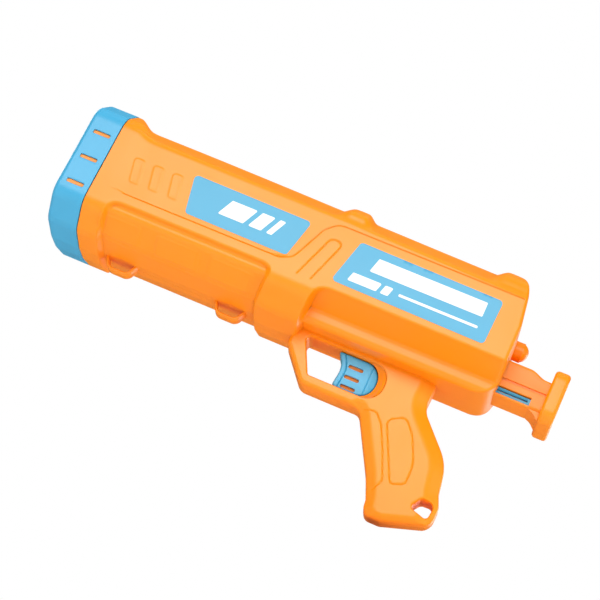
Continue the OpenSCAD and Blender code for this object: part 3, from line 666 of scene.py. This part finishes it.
def wellRings(sheet, loop, x, z, surface, sign):
    # a round well from an existing loop of points down to the screw's seat
    points = np.vstack(sheet.points)[loop]
    angle = np.arctan2(points[:, 2] - z, points[:, 0] - x)
    rings = [np.asarray(loop)]
    for grow, lower in screwWells["rings"]:
        r = screwWells["radius"] + grow
        px, pz = x + r * np.cos(angle), z + r * np.sin(angle)
        y = screwWells["seat"] if lower is None else surface(px, pz) - lower
        rings.append(sheet.add(xyz(px, sign * y, pz)))
    sheet.weave(np.array(rings), wrap=True)
    sheet.fan(rings[-1])


screwWells = {"radius": 3.3, "rim": 3.9, "clear": 4.4, "seat": 9.0,
              "rings": ((0.5, 0.0), (0.15, 0.12), (0.0, 0.5), (0.0, None)),
              "body": ((72, -45), (128, -45), (187, -48.3), (318, 29), (334, 29)),
              "plate": ((291, -114), (312, -146))}
strapLoops = {"at": (57.0, 146.0), "length": 29.0, "low": 62.6, "half": 5.5, "top": -49.5,
              "bows": ((0.0, 6.0, 0.0, 6.5), (2.6, 7.2, 2.2, 4.5)),
              "edge": ((0.0, 0.8), (0.12, 0.3), (0.3, 0.08))}


def loopSheet(sheet, x, sign):
    # one half of a strap loop, with rounded outer edges
    half, low, top = strapLoops["length"] / 2, strapLoops["low"], strapLoops["top"]
    walk = np.linspace(0, 1, 60)

    def bow(inset, slope, floor, corner):
        line = [(x - half + inset, top), (x - half + slope, floor - low),
                (x + half - slope, floor - low), (x + half - inset, top)]
        line = roundLine(line, [0, corner, corner, 0], closed=False, step=6.0)
        d = np.append(0, np.cumsum(np.linalg.norm(np.diff(line, axis=0), axis=1)))
        return np.stack([np.interp(walk * d[-1], d, line[:, i]) for i in (0, 1)], -1)

    a, b = [bow(*values) for values in strapLoops["bows"]]
    wide = strapLoops["half"]
    edge = [(share, wide - inset) for share, inset in strapLoops["edge"]]
    section = [(0.0, seamGap), *edge, (0.5, wide), *[(1 - t, y) for t, y in edge[::-1]], (1.0, seamGap)]
    rows = []
    for t, y in section:
        p = a * (1 - t) + b * t
        rows.append(xyz(p[:, 0], sign * y, p[:, 1]))
    sheet.grid(np.array(rows))


def bodyHalf(sign):
    sheet = Sheet()

    def halfRing(x, radius):
        y = np.maximum(radius * np.cos(bodyA), seamGap)
        return xyz(x, sign * y, radius * np.sin(bodyA))

    # spigot and front rim before the skin
    collar = tableRadius("collar", bodyA)
    leadX, leadInset = body["lead"]
    front = [halfRing(x, collar - inset) for x, inset in body["spigot"]]
    front.append(halfRing(leadX, bodyR[0] - leadInset))
    points = np.array(front + [halfRing(x, radius) for x, radius in zip(bodyX, bodyR)])
    offset = len(front)
    skip = np.zeros((points.shape[0] - 1, points.shape[1] - 1), bool)
    wells = []
    if sign > 0:
        for x, zc in screwWells["body"]:
            away = np.hypot(points[:, :, 0] - x, points[:, :, 2] - zc)
            near = (away < screwWells["clear"]) & (points[:, :, 1] > 5)
            near[:offset] = False
            wells.append((x, zc, cutBlock(near, skip)))
    index = sheet.grid(points, skip=skip)
    for x, zc, block in wells:
        loop = np.array([index[i, j] for i, j in blockLoop(*block)])
        wellRings(sheet, loop, x, zc, skinY, sign)
    # rims along the seam, turned inward
    for j in (0, -1):
        edge = points[:, j]
        inner = edge.copy()
        inner[:, 2] -= np.sign(edge[:, 2]) * body["seamRim"]
        sheet.weave(np.array([index[:, j], sheet.add(inner)]))
    rearWall(sheet, points[-1], sign)
    for x in strapLoops["at"]:
        loopSheet(sheet, x, sign)
    leanRear(sheet)
    addGrip(sheet, sign)
    return sheet


def addGrip(sheet, sign):
    # guard and grip of one half, with the screw wells on the right
    holes = [recessLine, holeLine]
    if sign > 0:
        rim = screwWells["rim"]
        circle = np.linspace(0, 2 * math.pi, 33)[:-1]
        rings = [np.stack((x + rim * np.cos(circle), zc + rim * np.sin(circle)), -1)
                 for x, zc in screwWells["plate"]]
        verts, tris, edges = plateMesh(plateLine, holes + rings, gripPlate["spacing"])
        outer = [e for e in edges
                 if all(np.hypot(*(verts[e[0]] - c)) > rim + 0.3 for c in screwWells["plate"])]
        face = plateSide(sheet, (verts, tris, outer), plateRise, sign, plateFoot)
        for x, zc in screwWells["plate"]:
            away = np.abs(np.hypot(verts[:, 0] - x, verts[:, 1] - zc) - rim)
            around = np.where(away < 0.06)[0]
            order = np.argsort(np.arctan2(verts[around, 1] - zc, verts[around, 0] - x), kind="stable")
            wellRings(sheet, face[around[order]], x, zc, plateRise, sign)
    else:
        plateSide(sheet, plateMesh(plateLine, holes, gripPlate["spacing"]), plateRise, sign, plateFoot)
    # slope of the recess behind the trigger, and the pocket that the trigger slides into
    verts, tris, edges = plateMesh(recessLine, [fingerLine], gripPlate["slopeSpacing"])
    inner = [e for e in edges if lineDistance(*verts[e[0]], fingerLine) < onLine]
    start, shift, under = gripPlate["pocket"]

    def pocketFoot(x, z):
        return under if x > start else seamGap

    plateSide(sheet, (verts, tris, inner), recessRise, sign, pocketFoot)
    back = fingerLine[fingerLine[:, 0] > start]
    back = np.vstack(((start, back[0, 1]), back, (start, back[-1, 1])))
    deep = back + np.where((back[:, :1] > start), (shift, 0.0), (0.0, 0.0))
    rows = [(back, under), (deep, under), (deep, seamGap)]
    sheet.grid(np.array([xyz(line[:, 0], sign * y, line[:, 1]) for line, y in rows]))


def leanRear(sheet):
    # the rear face leans forward above the bore line and turns in below
    amount, height, leanStart, leanReach = body["lean"]
    deep, radius, toeStart, toeReach = body["toe"]
    for p in sheet.points:
        x, z = p[:, 0].copy(), p[:, 2]
        lean = amount * np.clip(z / height, 0, 1) * smooth((x - leanStart) / leanReach)
        turn = np.clip((-z - deep) / radius, 0, 1)
        toe = radius * (1 - np.sqrt(1 - turn * turn)) * smooth((x - toeStart) / toeReach)
        p[:, 0] = x - lean - toe


def rearWall(sheet, ringPoints, sign):
    # flat rear face with the neck's opening and the rod's hole on the seam
    x = body["rear"]
    arc = np.linspace(-math.pi / 2, math.pi / 2, 25)
    hole = [(body["rodHole"] * math.cos(t), body["rodHole"] * math.sin(t)) for t in arc]
    edge = [(max(y, seamGap), z) for y, z in body["opening"] + hole]
    edge = dense(np.array(edge), 2.0, closed=False)
    ring = np.stack((np.abs(ringPoints[:, 1]), ringPoints[:, 2]), -1)
    verts, tris, _ = plateMesh(np.vstack((ring, edge[::-1])), [], 2.4)
    sheet.tile(xyz(x, sign * verts[:, 0], verts[:, 1]), tris)
    loop, deep = (sheet.add(xyz(at, sign * edge[:, 0], edge[:, 1])) for at in (x, x - body["rim"]))
    onSeam = np.abs(np.diff(edge[:, 0])) + np.abs(edge[:-1, 0] - seamGap) < 1e-6
    sheet.weave(np.array([loop, deep]), skip=onSeam[None, :])


leftShell = bodyHalf(-1).piece("leftShell", looks["orange"], "housing", ("left_shell",), angle=32)
rightShell = bodyHalf(1).piece("rightShell", looks["orange"], "housing", ("right_shell",), angle=32)
print("stage: body halves made,", len(leftShell.data.polygons), len(rightShell.data.polygons))

# Muzzle cap: rounded front, funnel and three slots on each side
cap = {"round": 3.2, "lip": 1.2, "funnel": 45.0, "bore": 34.15, "seat": 36.7, "funnelLen": 14.0,
       "rear": ((24.25, 1.55), (24.25, 0.9), (24.2, 0.4), (24.0, 0.1), (23.75, 0.0)), "sideEnd": 23.6,
       "slotLayers": ((0.3, 0.0), (0.08, 0.1), (0.0, 0.35), (0.0, 1.6)),
       "slots": ((6.4, 19.9, 14.5, 17.7), (6.4, 19.9, -7.1, -3.9), (6.4, 19.9, -28.7, -25.5))}


def makeCap():
    sheet = Sheet()
    angle = np.concatenate((bodyAngles(0.8)[:-1], math.pi - bodyAngles(0.8)[::-1][:-1]))
    base = tableRadius("collar", np.where(np.cos(angle) >= 0, angle, math.pi - angle))
    rings = []

    def ring(x, radius):
        rings.append(xyz(x, radius * np.cos(angle), radius * np.sin(angle)))

    for x, inset in cap["rear"]:
        ring(x, base - inset)
    for x in spread((cap["sideEnd"], cap["round"] + 0.5, 0.6)):
        ring(x, base)
    sideEnd = len(rings)
    for t in np.linspace(0, math.pi / 2, 9):
        ring(cap["round"] * (1 - math.sin(t)), base - cap["round"] * (1 - math.cos(t)))
    edge = base - cap["round"]
    lip = cap["lip"]
    for share in (0.35, 0.7):
        ring(0.0, edge * (1 - share) + (cap["funnel"] + lip) * share)
    for t in np.linspace(0, math.radians(52), 5):
        ring(lip * (1 - math.cos(t)), cap["funnel"] + lip - lip * math.sin(t))
    for t in np.linspace(0.08, 1.0, 10):
        ring(cap["funnelLen"] * t, cap["funnel"] * (1 - t) + cap["bore"] * t)
    ring(cap["funnelLen"], cap["seat"])
    points = np.array(rings)
    skip = np.zeros((points.shape[0] - 1, points.shape[1]), bool)
    blocks = []
    for x0, x1, z0, z1 in cap["slots"]:
        for sign in (-1, 1):
            inX = (points[:, 0, 0] > x0 - 0.5) & (points[:, 0, 0] < x1 + 0.5)
            inX[:2] = inX[sideEnd:] = False
            z, y = points[10, :, 2], points[10, :, 1]
            inZ = (z > z0 - 0.7) & (z < z1 + 0.7) & (y * sign > 20)
            block = cutBlock(inX[:, None] & inZ, skip)
            blocks.append((block, sign, ((x0 + x1) / 2, (x1 - x0) / 2, (z0 + z1) / 2, (z1 - z0) / 2)))
    index = sheet.grid(points, wrap=True, skip=skip)
    for block, sign, (xc, a, zc, b) in blocks:
        cells = blockLoop(*block)
        loop = np.array([index[i, j] for i, j in cells])
        p = np.array([points[i, j] for i, j in cells])
        u = (p[:, 0] - (p[:, 0].max() + p[:, 0].min()) / 2) / np.ptp(p[:, 0]) * 2
        v = (p[:, 2] - (p[:, 2].max() + p[:, 2].min()) / 2) / np.ptp(p[:, 2]) * 2
        size = (np.abs(u) ** 8 + np.abs(v) ** 8) ** (1 / 8)
        u, v = u / size, v / size
        layers = [loop]
        for grow, lower in cap["slotLayers"]:
            px, pz = xc + u * (a + grow), zc + v * (b + grow)
            surface = np.interp(pz, points[10, :, 2][: len(base) // 2], points[10, :, 1][: len(base) // 2])
            layers.append(sheet.add(xyz(px, sign * (surface - lower), pz)))
        sheet.weave(np.array(layers), wrap=True)
    return sheet


muzzleCap = makeCap().piece("muzzleCap", looks["blue"], "housing", ("muzzle_cap",), angle=38)
print("stage: muzzle cap made")

# Trigger: two plate faces with a front lip, a line and three slots
blade = {
    "outline": [(234, -53.4), (240.5, -64), (238.5, -80), (268.5, -80), (268.5, -53.4)],
    "radii": [1.2, 20, 2.5, 12.3, 12.3], "half": 7.5, "round": 1.4,
    "slots": ((244.5, 256.2, -62.9, -59.9), (244.5, 256.2, -71.1, -68.1), (244.5, 256.2, -78.6, -75.8)),
    "lip": ([(239, -53), (244.2, -64), (242.6, -81)], [0, 16, 0], 0.8, 0.6),
    "line": ([(262, -54), (262, -80)], [0, 0], 0.5, 0.55), "fall": (0.8, 262.0, 6.0),
    "blocks": (((246, 261), 5.0, (-55.4, -46.1)), ((244, 268), 8.5, (-47.1, -44.6)),
               ((262, 290.5), 2.5, (-67.5, -63.5))),
    "slotCorner": 1.42, "blockEdge": 0.5, "reflectionCore": (5.4, 0.4, 0.3), "spacing": 0.45,
}
bladeLine = roundLine(blade["outline"], blade["radii"])


def bladeRise(px, pz):
    away = lineDistance(px, pz, bladeLine)
    t = np.clip(1 - away / blade["round"], 0, 1)
    drop = blade["round"] * (1 - np.sqrt(np.maximum(1 - t * t, 0)))
    for key in ("lip", "line"):
        line, radii, depth, width = blade[key]
        line = roundLine(line, radii, closed=False)
        drop = drop + depth * smooth(1 - lineDistance(px, pz, line, closed=False) / width)
    depth, start, width = blade["fall"]
    drop = drop + depth * smooth((px - start) / width)
    return blade["half"] - drop


def makeTrigger():
    sheet = Sheet()
    corner = blade["slotCorner"]
    slots = [roundLine([(a, c), (b, c), (b, d), (a, d)], corner) for a, b, c, d in blade["slots"]]
    parts = plateMesh(bladeLine, slots, blade["spacing"])
    for sign in (-1, 1):
        plateSide(sheet, parts, bladeRise, sign, lambda x, z: 0.0)
    # neck through the roof, flange above it and the push bar to the sear
    for x, half, z in blade["blocks"]:
        softBox(sheet, x, (-half, half), z, blade["blockEdge"])
    return sheet


def softBox(sheet, x, y, z, r):
    # a block with chamfered edges, as rings in Y and Z along X
    def ring(at, inset):
        y0, y1, z0, z1 = y[0] + inset, y[1] - inset, z[0] + inset, z[1] - inset
        c = max(r - inset * 0.4, 0.05)
        corners = [(y0 + c, z0), (y1 - c, z0), (y1, z0 + c), (y1, z1 - c), (y1 - c, z1), (y0 + c, z1),
                   (y0, z1 - c), (y0, z0 + c)]
        return [(at, *corner) for corner in corners]

    sheet.solid([ring(x[0], r), ring(x[0] + r, 0.0), ring(x[1] - r, 0.0), ring(x[1], r)])


def makeSlotReflectionCore():
    # orange block in the trigger's slots, a painted reflection: it stands in for orange light reflected on
    # the slot walls
    sheet = Sheet()
    half, grow, edge = blade["reflectionCore"]
    for a, b, c, d in blade["slots"]:
        softBox(sheet, (a - grow, b + grow), (-half, half), (c - grow, d + grow), edge)
    return sheet


triggerBlade = makeTrigger().piece("triggerBlade", looks["blue"], "trigger", ("trigger",), angle=38)
# painted reflection: orange block behind the slots in place of reflected orange light
triggerSlotReflection = makeSlotReflectionCore().piece("triggerSlotReflection", looks["inner"], "trigger", angle=38)
print("stage: trigger made")

# Pull handle: channelled neck and a soft T-plate
handle = {
    "neck": (282.0, 385.0), "half": 14.0, "top": -12.0, "low": -41.0, "setBack": 1.2,
    "dip": (4.0, 367.0, 13.0),
    "groove": (-28.5, -26.4, 2.2), "slide": (-39.2, -33.3, 9.0), "slideEnd": 375.0,
    "plate": (384.0, 395.5), "plateHalf": (27.0, 21.0), "plateMid": -29.0, "plateRound": 2.8,
    "plateCorner": 10.0,
    "gusset": ([(375, -40), (375, -41), (380, -43), (384.5, -47.5), (386, -40)], [0, 1, 8, 0, 0]),
    "gussetHalf": 12.5, "screws": (316.0, 336.0), "screwSeat": -38.8,
}


def neckSection(withSlide):
    half, top, back = handle["half"], handle["top"], handle["setBack"]
    g0, g1, deep = handle["groove"]
    right, radii = [(half, handle["low"])], [2.2]
    if withSlide:
        s0, s1, floor = handle["slide"]
        right += [(half, s0), (floor, s0), (floor, s1), (half, s1)]
        radii += [0.4, 0.2, 0.2, 0.4]
    right += [(half, g0), (half - deep, g0), (half - deep, g1), (half - back, g1), (half - back, top)]
    radii += [0.5, 0.2, 0.2, 0.4, 2.6]
    right = np.array(right, float)
    return roundLine(np.vstack((right, (right * (-1, 1))[::-1])), radii + radii[::-1], step=15.0)


def makeHandle():
    sheet = Sheet()
    top, grooveTop = handle["top"], handle["groove"][1]
    drop, dipStart, dipReach = handle["dip"]
    start, end = handle["neck"]
    joint = handle["slideEnd"]
    for x0, x1, withSlide in ((start, joint, True), (joint - 0.01, end, False)):
        line = neckSection(withSlide)
        rows = []
        for x in spread((x0, x1, 1.5)):
            fall = drop * smooth((x - dipStart) / dipReach)
            fall = fall * np.clip((line[:, 1] - grooveTop) / (top - grooveTop), 0, 1)
            rows.append(xyz(x, line[:, 0], line[:, 1] - fall))
        sheet.solid(rows)
    # plate with rounded rims
    w, h = handle["plateHalf"]
    mid, r = handle["plateMid"], handle["plateRound"]
    corners = [(w, mid - h), (w, mid + h), (-w, mid + h), (-w, mid - h)]
    outline = dense(roundLine(corners, handle["plateCorner"], step=5.0), 2.0)
    tangent = np.roll(outline, -1, axis=0) - np.roll(outline, 1, axis=0)
    normal = np.stack((tangent[:, 1], -tangent[:, 0]), -1)
    normal /= np.linalg.norm(normal, axis=1)[:, None]
    normal *= np.sign((normal * (outline - np.array((0.0, mid)))).sum(1))[:, None]
    rows = []
    quarter = np.linspace(0, math.pi / 2, 8)
    x0, x1 = handle["plate"]
    for rim, sign, turns in ((x0, 1, quarter), (x1, -1, quarter[::-1])):
        for t in turns:
            p = outline - normal * r * (1 - math.sin(t))
            rows.append(xyz(rim + sign * r * (1 - math.cos(t)), p[:, 0], p[:, 1]))
    sheet.solid(rows)
    # gusset under the neck
    profile = roundLine(*handle["gusset"], step=10.0)
    half = handle["gussetHalf"]
    sheet.solid([xyz(profile[:, 0], y, profile[:, 1]) for y in (-half, half)])
    return sheet


pullHandle = makeHandle().piece("pullHandle", looks["orange"], "plunger", ("pull_handle",), angle=38)
print("stage: pull handle made")

# Cocking slide: a copy of the frame's piece with a groove along each edge
keptAngle = 30.0
slideGroove = {"x": (283.0, 373.2), "z": (-36.95, -35.65), "depth": 4.5, "edge": 11.0}


def makeSlide():
    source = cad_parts["cocking_slide"]
    mesh = source.data.copy()
    mesh.transform(source.matrix_world)
    x0, x1 = ((v - holdPoint[0]) / 1000 for v in slideGroove["x"])
    z0, z1 = ((v - holdPoint[2]) / 1000 for v in slideGroove["z"])
    work = bmesh.new()
    work.from_mesh(mesh)
    bmesh.ops.remove_doubles(work, verts=work.verts, dist=weldGap / 1000.0)
    planes = [((x, 0, 0), (1, 0, 0)) for x in (x0, x1)] + [((0, 0, z), (0, 0, 1)) for z in (z0, z1)]
    for place, normal in planes:
        every = work.verts[:] + work.edges[:] + work.faces[:]
        bmesh.ops.bisect_plane(work, geom=every, plane_co=place, plane_no=normal)
    work.normal_update()
    for sign in (-1, 1):
        strip = []
        for face in work.faces:
            mid = face.calc_center_median()
            onEdge = face.normal.y * sign > 0.9 and mid.y * sign > slideGroove["edge"] / 1000
            if onEdge and x0 < mid.x < x1 and z0 < mid.z < z1:
                strip.append(face)
        grown = bmesh.ops.extrude_face_region(work, geom=strip)["geom"]
        floor = [v for v in grown if isinstance(v, bmesh.types.BMVert)]
        bmesh.ops.translate(work, verts=floor, vec=(0, -sign * slideGroove["depth"] / 1000, 0))
        bmesh.ops.delete(work, geom=strip, context="FACES_ONLY")
    bmesh.ops.recalc_face_normals(work, faces=work.faces)
    work.to_mesh(mesh)
    work.free()
    dress(mesh, looks["blue"], keptAngle)
    return addPiece("cockingSlide", mesh, "plunger", ("cocking_slide",))


cockingSlide = makeSlide()
print("stage: cocking slide made,", len(cockingSlide.data.polygons))

# Labels with plain white bars, laid on the skin
labels = {
    "front": [(96.4, -16.8), (176.6, -17.5), (183.3, 13.6), (90, 14.3)],
    "rear": [(213.5, -22.1), (330.4, -23.6), (331.7, 12.0), (222, 13.3)],
    "frontBars": ((118, 138, -7.5, 6, 6, 6), (142, 152, -7.5, 6, 6, 6), (156, 160.5, -7.5, 6, 6, 6)),
    "rearBars": ((236, 322, -5, 6.5, 3, 0), (224, 246, -17.5, -10.5, 2, 2), (249, 255, -17.5, -10.5, 2, 2),
                 (262, 322, -14.6, -12.6, 0, 0)),
    "corner": 3.0, "barCorner": 0.9, "lift": 0.28, "barLift": 0.33, "sink": 0.15, "spacing": 2.2,
}


def skinPatch(sheet, outline, lift):
    def rise(x, z):
        return skinY(x, z) + lift

    def foot(x, z):
        return skinY(x, z)[0] - labels["sink"]

    plateSide(sheet, plateMesh(outline, [], labels["spacing"]), rise, -1, foot)


for key, node in (("front", "front_label"), ("rear", "rear_label")):
    sheet = Sheet()
    skinPatch(sheet, roundLine(labels[key], labels["corner"]), labels["lift"])
    film = sheet.piece(key + "Label", looks["film"], "housing", (node,), angle=50)
    sheet = Sheet()
    for left, right, low, high, leanLeft, leanRight in labels[key + "Bars"]:
        bar = [(left, low), (right, low), (right + leanRight, high), (left + leanLeft, high)]
        skinPatch(sheet, roundLine(bar, labels["barCorner"]), labels["barLift"])
    bars = sheet.piece(key + "Bars", looks["print"], "housing", angle=50)
print("stage: labels made")


# Wound springs
def coilSheet(radius, wire, x0, x1, turns, closed=1.25, steps=30, sides=12):
    sheet = Sheet()
    angle = np.linspace(0, 2 * math.pi * turns, int(steps * turns) + 1)
    flat = closed * 2 * math.pi
    total = 2 * math.pi * turns
    tight = wire * 1.06 / (2 * math.pi)
    length = x1 - x0 - wire
    pitch = (length - 2 * flat * tight) / (total - 2 * flat)
    ending = length - (total - angle) * tight
    middle = flat * tight + (angle - flat) * pitch
    along = np.where(angle < flat, angle * tight, np.where(angle > total - flat, ending, middle))
    along = along + x0 + wire / 2
    centre = xyz(along, radius * np.cos(angle), radius * np.sin(angle))
    tangent = np.gradient(centre, axis=0)
    tangent /= np.linalg.norm(tangent, axis=1)[:, None]
    out = xyz(0.0, np.cos(angle), np.sin(angle))
    side = np.cross(tangent, out)
    turn = np.linspace(0, 2 * math.pi, sides + 1)[:-1]
    outward, sideways = np.cos(turn)[None, :, None], np.sin(turn)[None, :, None]
    sheet.solid(centre[:, None] + wire / 2 * (outward * out[:, None] + sideways * side[:, None]))
    return sheet


def moved(sheet, matrix, shift):
    sheet.points = [p @ np.array(matrix).T + np.array(shift) for p in sheet.points]


springs = {
    "main": (9.4, 2.0, 200.3, 337.7, 15), "trigger": (2.4, 0.8, 255.3, 283.7, 9),
    "sear": (3.2, 0.6, 1.3, 5.3, 4),
    "triggerPlace": (0, 0, -73.5), "searPlace": (294, 0, -54), "searTurn": ((0, -1, 0), (1, 0, 0), (0, 0, 1)),
}
mainCoil = coilSheet(*springs["main"])
triggerCoil = coilSheet(*springs["trigger"], steps=20, sides=8)
moved(triggerCoil, np.eye(3), springs["triggerPlace"])
searCoil = coilSheet(*springs["sear"], closed=0.6, steps=20, sides=8)
moved(searCoil, springs["searTurn"], springs["searPlace"])
mainSpring = mainCoil.piece("mainSpring", looks["steel"], "housing", ("main_spring",))
triggerSpring = triggerCoil.piece("triggerSpring", looks["steel"], "housing", ("trigger_spring",))
searSpring = searCoil.piece("searSpring", looks["steel"], "housing", ("sear_spring",))
print("stage: springs made")


# Screws with square sockets
def screwSheet(sheet, place, radius=3.0, height=2.4, shaft=1.5, length=20.0):
    # drawn along +Z with the head on top, then placed
    turn = np.linspace(0, 2 * math.pi, 49)[:-1]

    def ring(r, z):
        return xyz(r * np.cos(turn), r * np.sin(turn), z)

    profile = [(0.05, -length), (shaft * 0.6, -length), (shaft, 1.4 - length), (shaft, 0.0), (radius, 0.0)]
    profile += [(radius * a, height * b) for a, b in ((1.0, 0.35), (0.93, 0.68), (0.74, 0.92), (0.62, 1.0))]
    socket = radius * 0.15 / np.maximum(np.abs(np.sin(turn)), np.abs(np.cos(turn)))
    rings = [ring(r, z) for r, z in profile] + [ring(socket, height), ring(socket * 0.8, height - 1.1)]
    points = np.array(rings)
    flat = np.column_stack((points.reshape(-1, 3), np.ones(points.size // 3))) @ np.array(place).T
    sheet.solid(flat[:, :3].reshape(points.shape))


sheet = Sheet()
for k, (x, z) in enumerate(screwWells["body"] + screwWells["plate"]):
    turned = Matrix.Rotation(math.radians(-90), 4, "X") @ Matrix.Rotation(k * 0.6, 4, "Z")
    screwSheet(sheet, Matrix.Translation((x, screwWells["seat"], z)) @ turned)
shellScrews = sheet.piece("shellScrews", looks["steel"], "housing", ("shell_screws",), angle=35)
sheet = Sheet()
for k, x in enumerate(handle["screws"]):
    turned = Matrix.Rotation(math.pi, 4, "X") @ Matrix.Rotation(k * 0.9, 4, "Z")
    screwSheet(sheet, Matrix.Translation((x, 0, handle["screwSeat"])) @ turned, height=2.0, length=13.5)
handleScrews = sheet.piece("handleScrews", looks["steel"], "plunger", ("handle_screws",), angle=35)
print("stage: screws made")

# Pieces kept from the frame take the same looks
keptLooks = {
    "ball_barrel": "inner", "plunger_tube": "inner", "plunger_cup": "blue", "cup_pad": "rubber",
    "plunger_rod": "orange", "spring_seat": "grey", "slide_bumper": "rubber", "sear": "grey",
    "sear_pin": "steel",
}
for node, look in keptLooks.items():
    dress(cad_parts[node].data, looks[look], keptAngle)
print("stage: kept pieces finished,", len(keptLooks))


# Backdrop, light and camera
backdrop = {"size": 3.0, "low": -0.0592, "middle": (-0.1, 0.0), "fade": (0.25, 0.7), "glow": 0.2,
            "tone": (0.93, 0.93, 0.93, 1), "drift": 0.01, "roughness": 0.8,
            "fill": ((1.0, 0.985, 0.97, 1), 0.22), "dim": ((1.0, 0.94, 0.88, 1), 0.1),
            "seen": ((1, 1, 1, 1), 1.0)}
view = {"turn": 9.5, "tilt": 17.5, "roll": 25.28, "distance": 1.295, "target": (-0.10966, 0.0, 0.07317),
        "lens": 105.0, "sensor": 36.0}


def mixShader(tree, mask, first, second):
    node = tree.nodes.new("ShaderNodeMixShader")
    return feed(tree, node, {0: mask, 1: first, 2: second}).outputs[0]


def makeFloor():
    mesh = bpy.data.meshes.new("floorSheet")
    size, low = backdrop["size"], backdrop["low"]
    corners = [(-size, -size, low), (size, -size, low), (size, size, low), (-size, size, low)]
    mesh.from_pydata(corners, [], [(0, 1, 2, 3)])
    floor = newObject("floorSheet", mesh)
    material, tree, shader = newMaterial("paleFloor")
    tone = groupNode(tree, "tone", Base=backdrop["tone"], Amount=backdrop["drift"])
    feed(tree, shader, {"Base Color": tone.outputs["Color"], "Roughness": backdrop["roughness"],
                        "Emission Color": (1, 1, 1, 1), "Emission Strength": backdrop["glow"]})
    # clear from below and away from the object
    shape = tree.nodes.new("ShaderNodeNewGeometry")
    reach = tree.nodes.new("ShaderNodeVectorMath")
    reach.operation = "DISTANCE"
    feed(tree, reach, {0: shape.outputs["Position"], 1: (*backdrop["middle"], low)})
    faded = rangeNode(tree, reach.outputs["Value"], *backdrop["fade"])
    faded = mathNode(tree, "MAXIMUM", shape.outputs["Backfacing"], faded)
    clear = tree.nodes.new("ShaderNodeBsdfTransparent")
    surface = mixShader(tree, faded, shader.outputs[0], clear.outputs[0])
    feed(tree, tree.nodes["Material Output"], {"Surface": surface})
    mesh.materials.append(material)
    floor.visible_glossy = False
    return floor


def makeWorld():
    world = bpy.data.worlds.new("paleWorld")
    scene.world = world
    world.use_nodes = True
    tree = world.node_tree
    tree.nodes.clear()
    path = tree.nodes.new("ShaderNodeLightPath")
    sky = {}
    for key in ("fill", "dim", "seen"):
        node = tree.nodes.new("ShaderNodeBackground")
        color, strength = backdrop[key]
        sky[key] = feed(tree, node, {"Color": color, "Strength": strength}).outputs[0]
    soft = mixShader(tree, path.outputs["Is Glossy Ray"], sky["fill"], sky["dim"])
    whole = mixShader(tree, path.outputs["Is Camera Ray"], soft, sky["seen"])
    feed(tree, tree.nodes.new("ShaderNodeOutputWorld"), {0: whole})


def facing(right, up, back, place):
    return Matrix([(right[k], up[k], back[k], place[k]) for k in range(3)] + [(0, 0, 0, 1)])


def areaLight(name, place, target, size, power, color=(1, 1, 1), mirrored=True):
    data = bpy.data.lights.new(name, "AREA")
    data.shape = "RECTANGLE"
    data.size, data.size_y = size
    data.energy = power
    data.color = color
    lamp = newObject(name, data)
    lamp.visible_glossy = mirrored
    ahead = np.array(target, float) - np.array(place, float)
    back = -ahead / np.linalg.norm(ahead)
    right = np.cross((0, 0, 1), back)
    right /= np.linalg.norm(right)
    lamp.matrix_world = facing(right, np.cross(back, right), back, place)
    return lamp


def makeCamera():
    data = bpy.data.cameras.new("mainCamera")
    data.sensor_width = view["sensor"]
    data.lens = view["lens"]
    camera = newObject("mainCamera", data)
    scene.camera = camera
    phi, theta, roll = (math.radians(view[key]) for key in ("turn", "tilt", "roll"))
    ahead = np.array((-math.sin(phi) * math.cos(theta), math.cos(phi) * math.cos(theta), math.sin(theta)))
    right = np.array((math.cos(phi), math.sin(phi), 0.0))
    up = np.array((math.sin(phi) * math.sin(theta), -math.cos(phi) * math.sin(theta), math.cos(theta)))
    right, up = math.cos(roll) * right + math.sin(roll) * up, -math.sin(roll) * right + math.cos(roll) * up
    camera.matrix_world = facing(right, up, -ahead, np.array(view["target"]) - view["distance"] * ahead)
    return camera


floor = makeFloor()
makeWorld()
camera = makeCamera()
lamps = [
    areaLight("keyPanel", (-0.28, -1.3, 0.6), (-0.1, 0, 0.08), (1.3, 0.85), 14.0, (1.0, 0.99, 0.97)),
    areaLight("skyPanel", (-0.2, 0.1, 1.4), (-0.1, 0, 0.08), (1.6, 1.2), 15.0, mirrored=False),
    areaLight("lowPanel", (0.2, -1.0, -0.75), (-0.05, 0, 0.03), (1.4, 0.7), 1.2, mirrored=False),
    areaLight("sidePanel", (1.1, -0.6, 0.25), (0.03, 0, 0.07), (0.8, 0.8), 6.5, mirrored=False),
    areaLight("rearPanel", (1.05, 1.1, 0.2), (-0.1, 0, 0.08), (1.2, 0.9), 11.0),
    areaLight("farPanel", (-1.2, 0.8, 0.75), (-0.1, 0, 0.08), (0.8, 0.7), 6.0),
]
scene.view_settings.view_transform = "Standard"
print("stage: backdrop, light and camera made")

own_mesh(mainSpring)
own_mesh(triggerSpring)
